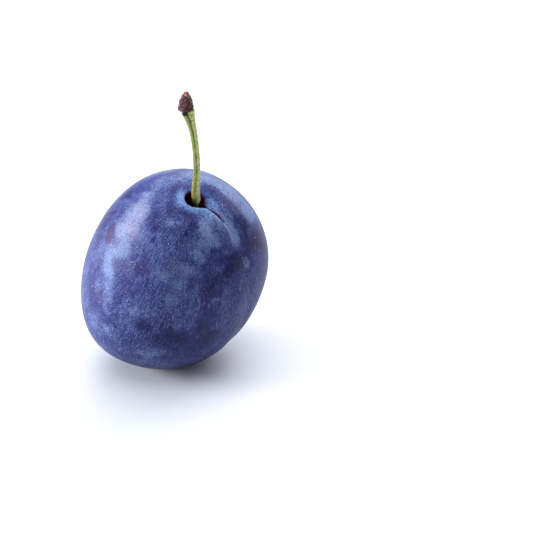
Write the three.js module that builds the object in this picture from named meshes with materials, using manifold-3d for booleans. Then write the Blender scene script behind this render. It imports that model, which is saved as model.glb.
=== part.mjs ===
// A ripe blue plum with its stalk, lying on its lower cheek with the stalk standing up.
//
// Lengths are in millimetres and angles in degrees unless a comment says radians. Z is up, and
// the origin is on the surface that the plum rests on, in the middle of its small flat spot.
// The fruit has a frame of its own, centred in it: Z runs from the blossom end to the stalk
// end, X points to the suture, and polar angles are measured from the stalk end.

import * as THREE from "three";
import { mergeVertices } from "three/addons/utils/BufferGeometryUtils.js";
import Module from "manifold-3d";

// The fruit's plain form, before anything is lifted or sunk.
const HALF_LENGTH = 23.2;
const HALF_WIDTH_TO_SUTURE = 18.25;
const HALF_WIDTH_ACROSS = 18.57;
const END_FULLNESS = 0.936; // the power of the sine and cosine: less than 1 fills the ends out
const BLOSSOM_FULLNESS = 0.059; // how much wider the blossom half grows, as a share
const SUTURE_SHIFT = 0.33; // the flesh is fuller on the suture side

// Broad swellings of the flesh, and one flattening. Height is how far the skin is lifted, and
// reach is the angle in radians at which the lift has fallen to a third.
const SWELLINGS = [
  { polar: 73, azimuth: 40.5, reach: 0.56, height: 1.32 },
  { polar: 115, azimuth: -94.5, reach: 0.57, height: 2.34 },
  { polar: 180, azimuth: 0, reach: 0.49, height: -1.37 },
];

// The bowl at the stalk end, and the steep hole in its middle.
const BOWL_DEPTH = 1.25;
const BOWL_RADIUS = 5.0;
const HOLE_DEPTH = 4.4;
const HOLE_RADIUS = 1.88;
const HOLE_WALL = 0.13;
const HOLE_CUSP = 0.45; // how far its edge runs out into the fold, as a share
const HOLE_CUSP_HALF_WIDTH = 0.45; // in radians
const HOLE_SHIFT = 0.36; // how far its edge is shifted towards the rim

// The raised rim along the other side of the hole.
const RIM_HEIGHT = 0.22;
const RIM_SETBACK = 1.15;
const RIM_HALF_WIDTH = 0.9;
const RIM_AZIMUTH = -80;

// The fold that runs out of the hole towards the suture, the valley that it lies in, steep on
// one side and gentle on the other, and the lip along the steep side.
const FOLD_DEPTH = 1.5;
const FOLD_HALF_WIDTH = 0.5;
const FOLD_FADE = [5.6, 8.4]; // distances from the axis
const VALLEY_DEPTH = 0.8;
const VALLEY_STEEP_HALF_WIDTH = 0.6;
const VALLEY_GENTLE_HALF_WIDTH = 2.8;
const VALLEY_REACH = 12; // distance from the axis at which the valley has run out
const LIP_HEIGHT = 0.3;
const LIP_SETBACK = 1.2;
const LIP_HALF_WIDTH = 1.0;
const FOLD_START_AZIMUTH = -18;
const FOLD_END_AZIMUTH = 4.5;
const FOLD_BEND = 1.0; // distance over which it turns from the one to the other

// The shallow suture that carries on from the fold to the blossom end.
const SUTURE_DEPTH = 0.22;
const SUTURE_HALF_WIDTH = 1.7;
const SUTURE_END = 0.25; // sine of the polar angle below which it fades out

// The dry stub of the style at the blossom end.
const STYLE_HEIGHT = 0.35;
const STYLE_RADIUS = 0.7;

// How the fruit lies: turned about its own axis, then leaning from upright towards an
// azimuth. Its weight flattens the skin where it rests.
const TURN = -37.3;
const LEAN = 24;
const LEAN_AZIMUTH = -55.6;
const REST_SPOT_DEPTH = 0.5;

// The rows of points on the skin, as stretches of polar angle in radians. They are close
// together in the hole and the bowl. In each row the points crowd towards the suture.
const SKIN_ROWS = [
  { to: 0.055, steps: 2 },
  { to: 0.125, steps: 9 },
  { to: 0.17, steps: 4 },
  { to: 0.5, steps: 13 },
  { to: 2.9, steps: 25 },
  { to: Math.PI, steps: 5 },
];
const SKIN_SIDES = 72;
const SUTURE_CROWDING = 0.6;

// The stalk's centre line above the hole, upright and from the fruit's centre. It starts along
// the fruit's axis in the bottom of the hole, straightens up and bows over near its top.
const STALK_ROUTE = [
  [5.0, -6.75, 18.5],
  [5.0, -7.4, 21.2],
  [5.25, -7.85, 25.2],
  [5.3, -7.9, 28.9],
  [5.12, -7.65, 32.15],
  [4.72, -7.2, 35.3],
  [4.05, -6.6, 38.2],
  [3.75, -6.31, 39.25],
];
const STALK_RADIUS = 0.69;
const STALK_FOOT_SWELLING = 0.18;
const STALK_FOOT_HEIGHT = 5.2;
const STALK_FOOT_REACH = 5.2;
const STALK_NECK = 0.42; // how much thinner it is in the bottom of the hole
const STALK_NECK_HEIGHTS = [1.9, 4.5];
const STALK_TOP_SWELLING = 0.8;
const STALK_TOP_REACH = 2.2;
const STALK_SIDES = 12;
const STALK_STEPS = 36;

// The corky knob on top of the stalk, a blunt cone of scale rings with one loose scale.
const KNOB_TIP = [3.3, -5.1, 43.5];
const KNOB_FOOT_SHIFT = [-0.5, 0, 0]; // it sits a little off the stalk's middle
const KNOB_RADIUS = 1.56;
const KNOB_NECK = 0.12; // how much narrower its foot is, as a share
const KNOB_NECK_REACH = 0.06; // as a share of the knob's height
const KNOB_TAPER = 2.4;
const KNOB_BLUNTNESS = 0.72;
const KNOB_RINGS = 7.5;
const KNOB_RING_LIFT = 0.13;
const KNOB_RING_WANDER = 0.32; // in rings
const LOOSE_SCALE_LIFT = 0.35;
const LOOSE_SCALE_HEIGHT = 0.05; // as a share of the knob's height
const LOOSE_SCALE_TALL = 0.1;
const LOOSE_SCALE_AZIMUTH = 245;
const LOOSE_SCALE_REACH = 0.4; // in radians
const KNOB_SIDES = 24;
const KNOB_STEPS = 45;

const CLEARANCE = 0.3; // between neighbouring pieces

const SKIN_LOOK = { color: 0x4d5382, roughness: 0.42, metalness: 0 };
const STALK_LOOK = { color: 0x8a8f4a, roughness: 0.7, metalness: 0 };
const KNOB_LOOK = { color: 0x6b4030, roughness: 0.85, metalness: 0 };

const { lerp, smoothstep, degToRad } = THREE.MathUtils;

// A bell-shaped fall from 1 that passes a third at the reach.
function bell(distance, reach) {
  return Math.exp(-((distance / reach) ** 2));
}

// A sine or cosine raised to the power that fills the ends out, with its sign kept.
function filled(value) {
  return Math.sign(value) * Math.abs(value) ** END_FULLNESS;
}

// The unit vector at a polar angle and an azimuth in radians.
function direction(polar, azimuth) {
  const out = Math.sin(polar);
  return new THREE.Vector3(out * Math.cos(azimuth), out * Math.sin(azimuth), Math.cos(polar));
}

// How far the flesh swells towards a direction.
function swelling(facing) {
  let lift = 0;
  for (const { polar, azimuth, reach, height } of SWELLINGS) {
    const middle = direction(degToRad(polar), degToRad(azimuth));
    lift += height * Math.exp((-2 * (1 - facing.dot(middle))) / reach ** 2);
  }
  return lift;
}

// The azimuth that the fold and the suture follow, in radians. It bends as it leaves the hole.
function foldLine(distance, stalkHalf) {
  const beyond = Math.max(distance, HOLE_RADIUS) - HOLE_RADIUS;
  const bend = stalkHalf ? Math.exp(-beyond / FOLD_BEND) : 0;
  return degToRad(lerp(FOLD_END_AZIMUTH, FOLD_START_AZIMUTH, bend));
}

// How far the fold, its valley and the suture press the skin in, less the lip's height. The
// run goes from 0 at the hole to 1 where the valley ends. Away is the distance sideways from
// the line that they follow, and ahead is 1 on that side of the hole and 0 behind it.
function furrow(distance, polar, azimuth) {
  const stalkHalf = Math.cos(polar) > 0;
  const run = stalkHalf ? smoothstep(distance, HOLE_RADIUS, VALLEY_REACH) : 1;
  const turn = azimuth - foldLine(distance, stalkHalf);
  const side = Math.cos(turn) > 0 ? Math.sin(turn) : Math.sign(turn);
  const away = distance * side;
  const ahead = smoothstep(Math.cos(turn), -0.2, 0.7);
  const near = smoothstep(distance, HOLE_RADIUS / 2, HOLE_RADIUS) * ahead;
  const fade = stalkHalf ? 1 - smoothstep(distance, ...FOLD_FADE) : 0;
  const fold = FOLD_DEPTH * bell(away, FOLD_HALF_WIDTH) * fade;
  const slope = away < 0 ? VALLEY_STEEP_HALF_WIDTH : VALLEY_GENTLE_HALF_WIDTH;
  const valley = VALLEY_DEPTH * bell(away, slope) * (1 - run);
  const lip = LIP_HEIGHT * bell(away + LIP_SETBACK, LIP_HALF_WIDTH) * (1 - run);
  const beforeEnd = smoothstep(Math.sin(polar), 0, SUTURE_END);
  const suture = SUTURE_DEPTH * bell(away, SUTURE_HALF_WIDTH) * run * beforeEnd;
  return (fold + valley - lip) * near + suture;
}

// How far from the fruit's axis the hole's edge is: a circle that runs out in a cusp where the
// fold leaves it, and that is shifted towards the rim.
function holeEdge(azimuth) {
  const turn = azimuth - degToRad(FOLD_START_AZIMUTH);
  const cusp = HOLE_CUSP * bell(2 * Math.sin(turn / 2), HOLE_CUSP_HALF_WIDTH);
  const shift = HOLE_SHIFT * Math.cos(azimuth - degToRad(RIM_AZIMUTH));
  return HOLE_RADIUS * (1 + cusp) + shift;
}

// How high the rim along one side of the hole is raised.
function rim(distance, azimuth) {
  const side = smoothstep(Math.cos(azimuth - degToRad(RIM_AZIMUTH)), -0.3, 0.6);
  return RIM_HEIGHT * side * bell(distance - HOLE_RADIUS - RIM_SETBACK, RIM_HALF_WIDTH);
}

// A point on the skin. The plain form is an egg with full ends. The swellings, the rim and the
// furrow move it outwards and inwards, and the bowl and the hole sink it along the axis.
function skinPoint(polar, azimuth) {
  const spread = filled(Math.sin(polar)) * (1 - BLOSSOM_FULLNESS * Math.cos(polar));
  const point = new THREE.Vector3(
    (HALF_WIDTH_TO_SUTURE + SUTURE_SHIFT * Math.cos(azimuth)) * spread * Math.cos(azimuth),
    HALF_WIDTH_ACROSS * spread * Math.sin(azimuth),
    HALF_LENGTH * filled(Math.cos(polar)),
  );
  const distance = Math.hypot(point.x, point.y);
  const stalkHalf = Math.cos(polar) > 0;
  const end = stalkHalf ? rim(distance, azimuth) : STYLE_HEIGHT * bell(distance, STYLE_RADIUS);
  const lift = swelling(direction(polar, azimuth)) + end - furrow(distance, polar, azimuth);
  point.addScaledVector(point.clone().normalize(), lift);
  const hole = HOLE_DEPTH / (1 + Math.exp((distance - holeEdge(azimuth)) / HOLE_WALL));
  if (stalkHalf) point.z -= BOWL_DEPTH * bell(distance, BOWL_RADIUS) + hole;
  return point;
}

// One row of points round a body, at equal steps of azimuth.
function row(sides, pointAt) {
  return Array.from({ length: sides }, (_, side) => pointAt((2 * Math.PI * side) / sides));
}

// A closed body from a top point, rows of points below it that run anticlockwise as seen from
// the top, and a bottom point.
function closedBody(top, rows, bottom) {
  const sides = rows[0].length;
  const points = [top, ...rows.flat(), bottom];
  const triangles = [];
  for (let side = 0; side < sides; side += 1) {
    const next = (side + 1) % sides;
    triangles.push(0, 1 + side, 1 + next);
    for (let i = 1; i < rows.length; i += 1) {
      const upper = 1 + (i - 1) * sides;
      const lower = 1 + i * sides;
      triangles.push(upper + side, lower + side, lower + next);
      triangles.push(upper + side, lower + next, upper + next);
    }
    const lowest = 1 + (rows.length - 1) * sides;
    triangles.push(lowest + side, points.length - 1, lowest + next);
  }
  const geometry = new THREE.BufferGeometry().setFromPoints(points);
  geometry.setIndex(triangles);
  return geometry;
}

// The whole fruit, before it is laid down.
function fruitGeometry() {
  const rows = [];
  let from = 0;
  for (const { to, steps } of SKIN_ROWS) {
    for (let step = 1; step <= steps; step += 1) {
      const polar = lerp(from, to, step / steps);
      rows.push(row(SKIN_SIDES, (turn) => (
        skinPoint(polar, turn - SUTURE_CROWDING * Math.sin(turn))
      )));
    }
    from = to;
  }
  rows.pop();
  return closedBody(skinPoint(0, 0), rows, skinPoint(Math.PI, 0));
}

// The rotation that lays the fruit down.
function lyingRotation() {
  const up = new THREE.Vector3(0, 0, 1);
  const towards = degToRad(LEAN_AZIMUTH);
  const hinge = new THREE.Vector3(-Math.sin(towards), Math.cos(towards), 0);
  return new THREE.Quaternion().setFromAxisAngle(hinge, degToRad(LEAN))
    .multiply(new THREE.Quaternion().setFromAxisAngle(up, degToRad(TURN)));
}

// Where the fruit's centre is, so that its lowest point is pressed flat at the origin.
function lyingCentre(geometry, rotation) {
  const turned = geometry.clone().applyQuaternion(rotation).getAttribute("position");
  const lowest = new THREE.Vector3(0, 0, Infinity);
  for (let i = 0; i < turned.count; i += 1) {
    if (turned.getZ(i) < lowest.z) lowest.fromBufferAttribute(turned, i);
  }
  return new THREE.Vector3(-lowest.x, -lowest.y, -lowest.z - REST_SPOT_DEPTH);
}

// The fruit without what would reach below the surface that it rests on.
function pressedFlat(wasm, geometry, rotation, centre) {
  const solid = (body) => new wasm.Manifold(new wasm.Mesh({
    numProp: 3,
    vertProperties: new Float32Array(body.getAttribute("position").array),
    triVerts: new Uint32Array(body.getIndex().array),
  }));
  const side = 4 * HALF_LENGTH;
  const box = new THREE.BoxGeometry(side, side, side);
  box.deleteAttribute("normal");
  box.deleteAttribute("uv");
  const ground = mergeVertices(box);
  ground.translate(-centre.x, -centre.y, -centre.z - side / 2);
  ground.applyQuaternion(rotation.clone().invert());
  const mesh = solid(geometry).subtract(solid(ground)).getMesh();
  const pressed = new THREE.BufferGeometry();
  pressed.setAttribute("position", new THREE.BufferAttribute(mesh.vertProperties, 3));
  pressed.setIndex(new THREE.BufferAttribute(mesh.triVerts, 1));
  return pressed;
}

// The stalk's centre line, from the bottom of the hole to the foot of the knob.
function stalkCurve(rotation) {
  const foot = HALF_LENGTH - BOWL_DEPTH - HOLE_DEPTH + CLEARANCE;
  const start = new THREE.Vector3(0, 0, foot).applyQuaternion(rotation);
  const route = STALK_ROUTE.map((place) => new THREE.Vector3(...place));
  return new THREE.CatmullRomCurve3([start, ...route], false, "centripetal");
}

// The stalk is round. It is thin in the bottom of the hole and a little thicker above it, and
// its top flares out under the knob.
function stalkGeometry(curve) {
  const length = curve.getLength();
  const rows = [];
  for (let step = STALK_STEPS; step >= 0; step -= 1) {
    const share = step / STALK_STEPS;
    const middle = curve.getPointAt(share);
    const along = curve.getTangentAt(share);
    const across = new THREE.Vector3(0, 1, 0).cross(along).normalize();
    const beside = along.clone().cross(across);
    const height = share * length;
    const radius = STALK_RADIUS
      + STALK_FOOT_SWELLING * bell(height - STALK_FOOT_HEIGHT, STALK_FOOT_REACH)
      - STALK_NECK * (1 - smoothstep(height, ...STALK_NECK_HEIGHTS))
      + STALK_TOP_SWELLING * Math.exp((height - length) / STALK_TOP_REACH);
    rows.push(row(STALK_SIDES, (azimuth) => (
      middle.clone()
        .addScaledVector(across, radius * Math.cos(azimuth))
        .addScaledVector(beside, radius * Math.sin(azimuth))
    )));
  }
  return closedBody(curve.getPointAt(1), rows, curve.getPointAt(0));
}

// The knob's radius at a share of its height: a neck, a blunt taper, rings that meet in sharp
// grooves and wander up and down, and the loose scale.
function knobRadius(share, azimuth) {
  const neck = 1 - KNOB_NECK * Math.exp(-share / KNOB_NECK_REACH);
  const taper = (1 - share ** KNOB_TAPER) ** KNOB_BLUNTNESS;
  const wander = KNOB_RING_WANDER * Math.sin(azimuth + KNOB_RINGS * share);
  const ridge = Math.sqrt(Math.abs(Math.sin(Math.PI * (share * KNOB_RINGS + wander))));
  const away = 2 * Math.sin((azimuth - degToRad(LOOSE_SCALE_AZIMUTH)) / 2);
  const scale = LOOSE_SCALE_LIFT * bell(away, LOOSE_SCALE_REACH)
    * bell(share - LOOSE_SCALE_HEIGHT, LOOSE_SCALE_TALL);
  return KNOB_RADIUS * neck * taper + (KNOB_RING_LIFT * (ridge - 0.6) + scale) * taper;
}

// The knob about its own upright axis, with its foot at the origin.
function knobGeometry(height) {
  const rows = [];
  for (let step = KNOB_STEPS - 1; step >= 0; step -= 1) {
    const share = step / KNOB_STEPS;
    rows.push(row(KNOB_SIDES, (azimuth) => {
      const radius = knobRadius(share, azimuth);
      return new THREE.Vector3(
        radius * Math.cos(azimuth),
        radius * Math.sin(azimuth),
        share * height,
      );
    }));
  }
  return closedBody(new THREE.Vector3(0, 0, height), rows, new THREE.Vector3(0, 0, 0));
}

function namedMesh(name, geometry, look) {
  const mesh = new THREE.Mesh(geometry, new THREE.MeshStandardMaterial(look));
  mesh.name = name;
  return mesh;
}

const wasm = await Module();
wasm.setup();

const rotation = lyingRotation();
const wholeFruit = fruitGeometry();
const centre = lyingCentre(wholeFruit, rotation);

const fruit = namedMesh("fruit", pressedFlat(wasm, wholeFruit, rotation, centre), SKIN_LOOK);
fruit.quaternion.copy(rotation);

const curve = stalkCurve(rotation);
const stalk = namedMesh("stalk", stalkGeometry(curve), STALK_LOOK);

const knobFoot = curve.getPointAt(1)
  .addScaledVector(curve.getTangentAt(1), CLEARANCE)
  .add(new THREE.Vector3(...KNOB_FOOT_SHIFT));
const knobAxis = new THREE.Vector3(...KNOB_TIP).sub(knobFoot);
const knob = namedMesh("stalk_knob", knobGeometry(knobAxis.length()), KNOB_LOOK);
knob.position.copy(knobFoot);
knob.quaternion.setFromUnitVectors(new THREE.Vector3(0, 0, 1), knobAxis.normalize());

const plum = new THREE.Group();
plum.add(fruit, stalk, knob);
plum.position.copy(centre);

export default plum;
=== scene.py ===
"""A ripe blue plum with its stalk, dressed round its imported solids.

The fruit has a frame of its own, centred in it and measured in millimetres: Z runs from the
blossom end to the stalk end and X points to the suture. Polar angles start at the stalk end.
Everything is made in that frame or upright beside it, and is then laid down in metres where
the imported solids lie.
"""

import logging
import math
from dataclasses import dataclass
from enum import Enum

import bpy
import numpy as np
from mathutils import Euler, Matrix, Vector

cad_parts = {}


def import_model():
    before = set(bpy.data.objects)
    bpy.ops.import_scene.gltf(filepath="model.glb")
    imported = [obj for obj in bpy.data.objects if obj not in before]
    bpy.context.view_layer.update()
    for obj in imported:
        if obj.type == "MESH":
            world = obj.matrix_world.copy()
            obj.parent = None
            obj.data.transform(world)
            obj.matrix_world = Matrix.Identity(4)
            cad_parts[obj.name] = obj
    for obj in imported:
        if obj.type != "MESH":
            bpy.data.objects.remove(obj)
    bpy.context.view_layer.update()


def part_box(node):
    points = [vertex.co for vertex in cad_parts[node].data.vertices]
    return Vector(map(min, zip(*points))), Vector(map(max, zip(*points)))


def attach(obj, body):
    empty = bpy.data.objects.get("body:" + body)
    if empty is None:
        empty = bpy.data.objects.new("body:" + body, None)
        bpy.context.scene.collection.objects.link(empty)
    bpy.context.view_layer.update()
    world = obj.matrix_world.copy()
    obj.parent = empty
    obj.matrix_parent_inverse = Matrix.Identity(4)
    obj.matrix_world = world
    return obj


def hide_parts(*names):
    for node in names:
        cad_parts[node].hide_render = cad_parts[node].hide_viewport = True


MM = 0.001
BODY = "root"
PLACE = "surface_place"
MARKS = "skin_marks"

log = logging.getLogger("plum")

Array = np.ndarray
Socket = bpy.types.NodeSocket
Colour = tuple[float, float, float, float]


class Slot(Enum):
    """The record's material slots."""

    SKIN = "fruit_skin"
    STALK = "stalk_green"
    KNOB = "knob_cork"


class PatchKind(Enum):
    """What has happened to the bloom in one patch of the skin, or the light or shade painted there."""

    RUBBED = "rubbed"
    BLOOMED = "bloomed"
    REDDENED = "reddened"
    FLUSHED = "flushed"


def bell(distance: Array, reach: Array | float) -> Array:
    """A bell-shaped fall from 1 that passes a third at the reach."""
    return np.exp(-((distance / reach) ** 2))


def smooth(value: Array | float, start: float, end: float) -> Array:
    """A smooth rise from 0 at the start to 1 at the end."""
    share = np.clip((value - start) / (end - start), 0, 1)
    return share * share * (3 - 2 * share)


def direction(polar: Array | float, azimuth: Array | float) -> Array:
    """The unit vectors at polar angles and azimuths in radians."""
    out = np.sin(polar)
    parts = np.broadcast_arrays(out * np.cos(azimuth), out * np.sin(azimuth), np.cos(polar))
    return np.stack(parts, axis=-1)


def unit(vectors: Array) -> Array:
    """The vectors at length 1."""
    return vectors / np.linalg.norm(vectors, axis=-1, keepdims=True)


def full_turn(sides: int) -> Array:
    """Even steps round a circle, in radians from 0."""
    return np.arange(sides) * (2 * np.pi / sides)


@dataclass
class Shell:
    """A closed surface: a top point, rows of points below it, and a bottom point.

    The rows run anticlockwise as seen from the top, so the faces point outwards. Each point
    can carry one vector of its own for the material.
    """

    top: Array
    rows: Array
    bottom: Array
    marks: Array | None = None

    def points(self) -> Array:
        """All its points, from the top one to the bottom one."""
        return np.vstack([self.top[None], self.rows.reshape(-1, 3), self.bottom[None]])

    def faces(self) -> tuple[Array, Array]:
        """Its faces: all their corners in order, and each one's number of corners."""
        count, sides = self.rows.shape[:2]
        ring = 1 + np.arange(count * sides).reshape(count, sides)
        beside = np.roll(ring, -1, axis=1)
        first = np.zeros(sides, int)
        last = np.full(sides, count * sides + 1)
        quads = np.stack([ring[:-1], ring[1:], beside[1:], beside[:-1]], axis=-1).reshape(-1, 4)
        crown = np.stack([first, ring[0], beside[0]], axis=-1)
        base = np.stack([ring[-1], last, beside[-1]], axis=-1)
        corners = np.concatenate([crown.ravel(), quads.ravel(), base.ravel()])
        sizes = np.concatenate([np.full(sides, 3), np.full(len(quads), 4), np.full(sides, 3)])
        return corners, sizes


def make_mesh(name: str, shells: list[Shell], attribute: str) -> bpy.types.Mesh:
    """Makes one smooth mesh from closed shells.

    Args:
        name: The mesh's name.
        shells: The shells, in metres and in place.
        attribute: The name that their marks are kept under.

    Returns:
        The mesh.
    """
    points = [shell.points() for shell in shells]
    faces = [shell.faces() for shell in shells]
    firsts = np.cumsum([0] + [len(part) for part in points[:-1]])
    corners = np.concatenate([part[0] + first for part, first in zip(faces, firsts)])
    sizes = np.concatenate([part[1] for part in faces])
    everything = np.vstack(points)
    mesh = bpy.data.meshes.new(name)
    mesh.vertices.add(len(everything))
    mesh.vertices.foreach_set("co", everything.astype(np.float32).ravel())
    mesh.loops.add(len(corners))
    mesh.loops.foreach_set("vertex_index", corners.astype(np.int32))
    mesh.polygons.add(len(sizes))
    starts = np.concatenate([[0], np.cumsum(sizes)[:-1]])
    mesh.polygons.foreach_set("loop_start", starts.astype(np.int32))
    marks = np.vstack([shell.marks for shell in shells])
    kept = mesh.attributes.new(attribute, "FLOAT_VECTOR", "POINT")
    kept.data.foreach_set("vector", marks.astype(np.float32).ravel())
    mesh.update(calc_edges=True)
    mesh.validate()
    mesh.shade_smooth()
    return mesh


def add_object(name: str, data: bpy.types.ID) -> bpy.types.Object:
    """Puts an object with a mesh, a light or a camera into the scene."""
    thing = bpy.data.objects.new(name, data)
    bpy.context.scene.collection.objects.link(thing)
    return thing


def add_piece(name: str, mesh: bpy.types.Mesh, slot: Slot, *nodes: str) -> bpy.types.Object:
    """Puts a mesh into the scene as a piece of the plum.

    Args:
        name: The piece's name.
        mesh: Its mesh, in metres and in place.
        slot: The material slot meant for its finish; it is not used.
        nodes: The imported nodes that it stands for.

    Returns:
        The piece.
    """
    piece = add_object(name, mesh)
    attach(piece, BODY)
    if nodes:
        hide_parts(*nodes)
    log.info("%s: %d faces", name, len(mesh.polygons))
    return piece


@dataclass(frozen=True)
class Swelling:
    """A broad swelling of the flesh, or a flattening if its height is negative."""

    polar: float
    azimuth: float
    reach: float
    height: float

    def lift(self, facing: Array) -> Array:
        """How far it lifts the skin: a bell on the angle between each point and its middle."""
        middle = direction(math.radians(self.polar), math.radians(self.azimuth))
        return self.height * np.exp(-2 * (1 - facing @ middle) / self.reach**2)


@dataclass(frozen=True)
class FruitForm:
    """The fruit's surface as a function of polar angle and azimuth, in millimetres."""

    half_length: float = 23.2
    half_width_to_suture: float = 18.25
    half_width_across: float = 18.57
    end_fullness: float = 0.936
    blossom_fullness: float = 0.059
    suture_shift: float = 0.33
    swellings: tuple[Swelling, ...] = (
        Swelling(73, 40.5, 0.56, 1.32),
        Swelling(115, -94.5, 0.57, 2.34),
        Swelling(180, 0, 0.49, -1.37),
    )
    bowl_depth: float = 1.25
    bowl_radius: float = 5.0
    hole_depth: float = 4.4
    hole_radius: float = 1.88
    hole_wall: float = 0.12
    hole_shift: float = 0.36
    rim_height: float = 0.22
    rim_setback: float = 1.15
    rim_half_width: float = 0.9
    rim_front: tuple[float, float] = (-0.3, 0.6)
    rim_azimuth: float = -80
    fold_depth: float = 1.5
    fold_half_width: float = 0.34
    fold_flare: float = 0.4
    fold_flare_reach: float = 1.0
    fold_fade: tuple[float, float] = (5.6, 8.4)
    fold_front: tuple[float, float] = (-0.2, 0.7)
    valley_depth: float = 0.8
    valley_half_widths: tuple[float, float] = (0.45, 2.8)
    lip_height: float = 0.3
    lip_setback: float = 1.2
    lip_half_width: float = 1.0
    overhang: float = 0.3
    fold_reach: float = 12.0
    fold_start_azimuth: float = -18
    fold_end_azimuth: float = 4.5
    fold_bend: float = 1.0
    crease_reach: tuple[float, float] = (2.0, 7.4)
    cusp: float = 0.45
    cusp_half_width: float = 0.45
    suture_depth: float = 0.22
    suture_half_width: float = 1.7
    suture_end: float = 0.25
    style_height: float = 0.35
    style_radius: float = 0.7
    dent_depth: float = 0.035
    dent_waves: float = 4.5
    dent_count: int = 9
    dent_seed: int = 11

    def filled(self, value: Array) -> Array:
        """A sine or cosine raised to the power that fills the ends out, its sign kept."""
        return np.sign(value) * np.abs(value) ** self.end_fullness

    def furrow(self, distance: Array, polar: Array, azimuth: Array) -> tuple[Array, ...]:
        """The fold that leaves the hole, the valley and the lip beside it, and the suture.

        The line that they follow bends exponentially as it leaves the hole. A run goes from 0
        at the hole to 1 where the valley ends. The fold is a narrow bell across the line that
        widens exponentially towards the hole. The valley is a bell with a steep left side and a
        gentle right side, and the lip is a bell set back to the left. All three fade as the
        run goes on, and the shallow bell of the suture takes over. The left lip leans over the
        fold, sideways.

        Args:
            distance: Each point's distance from the axis.
            polar: Its polar angle.
            azimuth: Its azimuth.

        Returns:
            How far each point is lifted, the way and the length that it leans sideways, how
            near it is to the fold's raw right wall from 0 to 1, and how high on the lip.
        """
        stalk_half = np.cos(polar) > 0
        run = np.where(stalk_half, smooth(distance, self.hole_radius, self.fold_reach), 1)
        line = self.fold_line(distance, stalk_half)
        turn = azimuth - line
        away = np.where(np.cos(turn) > 0, distance * np.sin(turn), distance * np.sign(turn))
        ahead = smooth(np.cos(turn), *self.fold_front)
        outside_hole = smooth(distance, self.hole_radius / 2, self.hole_radius)
        near = (1 - run) * outside_hole * ahead
        kept = (1 - smooth(distance, *self.fold_fade)) * outside_hole * ahead * stalk_half
        steep, gentle = self.valley_half_widths
        valley = self.valley_depth * bell(away, np.where(away < 0, steep, gentle))
        lip = self.lip_height * bell(away + self.lip_setback, self.lip_half_width)
        beyond = np.clip(distance - self.hole_radius, 0, None)
        flare = self.fold_flare * np.exp(-beyond / self.fold_flare_reach)
        fold = self.fold_depth * bell(away, self.fold_half_width + flare)
        before_end = smooth(np.sin(polar), 0, self.suture_end)
        suture = self.suture_depth * bell(away, self.suture_half_width) * run * before_end
        lean = self.overhang * bell(away + self.fold_half_width, 1.5 * self.fold_half_width) * kept
        sideways = np.stack([-np.sin(line), np.cos(line), line * 0], axis=-1)
        lift = (lip - valley) * near - fold * kept - suture
        crease = bell(away - self.fold_half_width, self.fold_half_width) * kept
        crease = crease * bell(distance - sum(self.crease_reach) / 2, np.ptp(self.crease_reach) / 2)
        return lift, sideways * lean[..., None], crease, lip / self.lip_height * near

    def fold_line(self, distance: Array, stalk_half: Array) -> Array:
        """The azimuth that the fold and the suture follow, in radians."""
        bend = np.exp((self.hole_radius - np.maximum(distance, self.hole_radius)) / self.fold_bend)
        bend = np.where(stalk_half, bend, 0)
        return np.radians(self.fold_start_azimuth * bend + self.fold_end_azimuth * (1 - bend))

    def rim(self, distance: Array, azimuth: Array) -> Array:
        """The raised rim on one side of the hole: a bell on the distance, fading sideways."""
        side = smooth(np.cos(azimuth - np.radians(self.rim_azimuth)), *self.rim_front)
        back = distance - self.hole_radius - self.rim_setback
        return self.rim_height * side * bell(back, self.rim_half_width)

    def dents(self, facing: Array) -> Array:
        """Slight unevenness of the flesh: a sum of cosine waves with seeded directions."""
        draw = np.random.default_rng(self.dent_seed)
        waves = draw.normal(0, self.dent_waves, (self.dent_count, 3))
        phases = draw.uniform(0, 2 * np.pi, self.dent_count)
        return self.dent_depth * np.cos(facing @ waves.T + phases).sum(axis=-1)

    def surface(self, polar: Array, azimuth: Array) -> tuple[Array, Array]:
        """The points of the skin, and marks for its material.

        The plain form is an egg with full ends: sines and cosines to a power a little under
        1, times the half widths and the half length, wider towards the blossom end. The
        swellings, the dents, the stub of the style and the furrow move it outwards or
        inwards. The bowl, a bell, and the hole, a logistic step, sink it along the axis. The
        hole's edge has a cusp where the fold leaves it, and it is shifted towards the rim.

        Args:
            polar: Polar angles in radians.
            azimuth: Azimuths in radians.

        Returns:
            Points in the fruit's own frame, and for each how far it is inside the hole, on
            the fold's raw wall and on a lip, from 0 to 1.
        """
        spread = self.filled(np.sin(polar)) * (1 - self.blossom_fullness * np.cos(polar))
        wide = self.half_width_to_suture + self.suture_shift * np.cos(azimuth)
        parts = np.broadcast_arrays(
            wide * spread * np.cos(azimuth),
            self.half_width_across * spread * np.sin(azimuth),
            self.half_length * self.filled(np.cos(polar)),
        )
        points = np.stack(parts, axis=-1)
        facing = direction(polar, azimuth)
        distance = np.hypot(points[..., 0], points[..., 1])
        stalk_half = np.cos(polar) > 0
        lift = sum(swelling.lift(facing) for swelling in self.swellings)
        furrow, lean, fold, lip = self.furrow(distance, polar, azimuth)
        rim = np.where(stalk_half, self.rim(distance, azimuth), 0)
        lift = lift + self.dents(facing) + furrow + rim
        lift = lift + np.where(stalk_half, 0, self.style_height) * bell(distance, self.style_radius)
        turn = azimuth - self.fold_line(distance, stalk_half)
        edge = self.hole_radius * (1 + self.cusp * bell(2 * np.sin(turn / 2), self.cusp_half_width))
        edge = edge + self.hole_shift * np.cos(azimuth - np.radians(self.rim_azimuth))
        step = np.clip((distance - edge) / self.hole_wall, -40, 40)
        sunk = self.bowl_depth * bell(distance, self.bowl_radius)
        hole = np.where(stalk_half, 1 / (1 + np.exp(step)), 0)
        points = points + unit(points) * lift[..., None] + lean
        points[..., 2] -= np.where(stalk_half, sunk, 0) + self.hole_depth * hole
        marks = np.stack([hole, fold, np.maximum(lip, rim / self.rim_height)], axis=-1)
        return points, marks


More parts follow.
